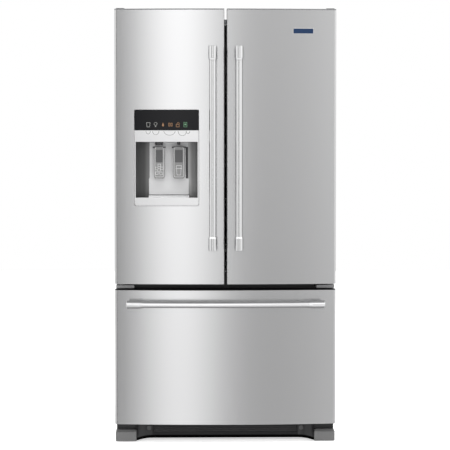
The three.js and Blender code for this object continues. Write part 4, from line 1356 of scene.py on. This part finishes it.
def add_ice_store():
    low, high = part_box("ice_housing")
    mesh = tub_mesh("ice_store", low, high, "+y", 5 * MM, 8 * MM, 1 * MM, 1 * MM)
    finish_mesh("ice_store", mesh, "white_plastic", "left_door", ("ice_housing",))
    bin_low = Vector((low.x + 14 * MM, low.y + 10 * MM, low.z + 8 * MM))
    bin_high = Vector((high.x - 14 * MM, high.y - 6 * MM, low.z + 150 * MM))
    mesh = tub_mesh("ice_bin", bin_low, bin_high, "+z", 2.5 * MM, 12 * MM, 3 * MM, 2 * MM)
    finish_mesh("ice_bin", mesh, "frosted_plastic", "left_door")
    maker_low, maker_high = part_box("ice_maker")
    tray_high = Vector((maker_high.x - 57 * MM, maker_high.y - 4 * MM, maker_low.z + 62 * MM))
    tray_low = Vector((maker_low.x, maker_low.y + 4 * MM, maker_low.z + 10 * MM))
    tray = tub_mesh("t", tray_low, tray_high, "+z", 2 * MM, 6 * MM, 6 * MM, 1.5 * MM)
    walls = [soft_box("w", (tray_low.x + 34 * MM * i, tray_low.y + 8 * MM, tray_low.z + 8 * MM),
                      (tray_low.x + 34 * MM * i + 2 * MM, tray_high.y - 8 * MM, tray_high.z - 8 * MM),
                      0.8 * MM, 0.4 * MM) for i in range(1, 6)]
    drive = soft_box("d", (maker_high.x - 57 * MM, maker_low.y, maker_low.z), maker_high, 6 * MM, 3 * MM)
    finish_mesh("ice_mould", merged("ice_mould", tray, *walls, drive), "light_grey", "left_door",
                ("ice_maker",))


# ------------------------------------------------------------------ floor


def add_floor():
    nodes, links, surface = shader("floor", (0.97, 0.97, 0.97), 0.6, emission_strength=0.55)
    surface.inputs["Emission Color"].default_value = (1, 1, 1, 1)
    cloud = noise(nodes, links, 1.4)
    tint(nodes, links, cloud, surface.inputs["Base Color"], (0.96, 0.96, 0.96), (0.975, 0.975, 0.975))
    mesh = mesh_from("floor", [(-9, -9, 0), (9, -9, 0), (9, 9, 0), (-9, 9, 0)], [(0, 1, 2, 3)])
    floor = bpy.data.objects.new("floor", mesh)
    bpy.context.scene.collection.objects.link(floor)
    mesh.materials.append(MATERIALS["floor"])
    floor.visible_glossy = False


def even_normals():
    """Large flat faces stay flat next to their small rounded edges."""
    for piece in bpy.context.scene.objects:
        if piece.type == "MESH" and piece.name != "floor":
            modifier = piece.modifiers.new("even", "WEIGHTED_NORMAL")
            modifier.keep_sharp = True
            modifier.weight = 80


def set_colour():
    scene = bpy.context.scene
    scene.view_settings.view_transform = "Standard"
    scene.view_settings.look = "None"


def build():
    add_camera()
    add_world()
    add_lights()
    set_colour()
    make_materials()
    add_floor()
    add_skins()
    for word, _ in SIDES:
        add_door_handle(word)
    add_drawer_handle()
    add_control_panel()
    add_icons()
    add_recess()
    add_paddles()
    add_spouts()
    add_badge()
    add_base()
    add_cabinet_outside()
    add_undercarriage()
    add_compressor()
    add_liners()
    add_shelves()
    add_crisper_shelf()
    add_inner_drawers()
    add_freezer_drawer_inside()
    add_inner_panels()
    add_door_bins()
    add_ice_store()


build()
even_normals()
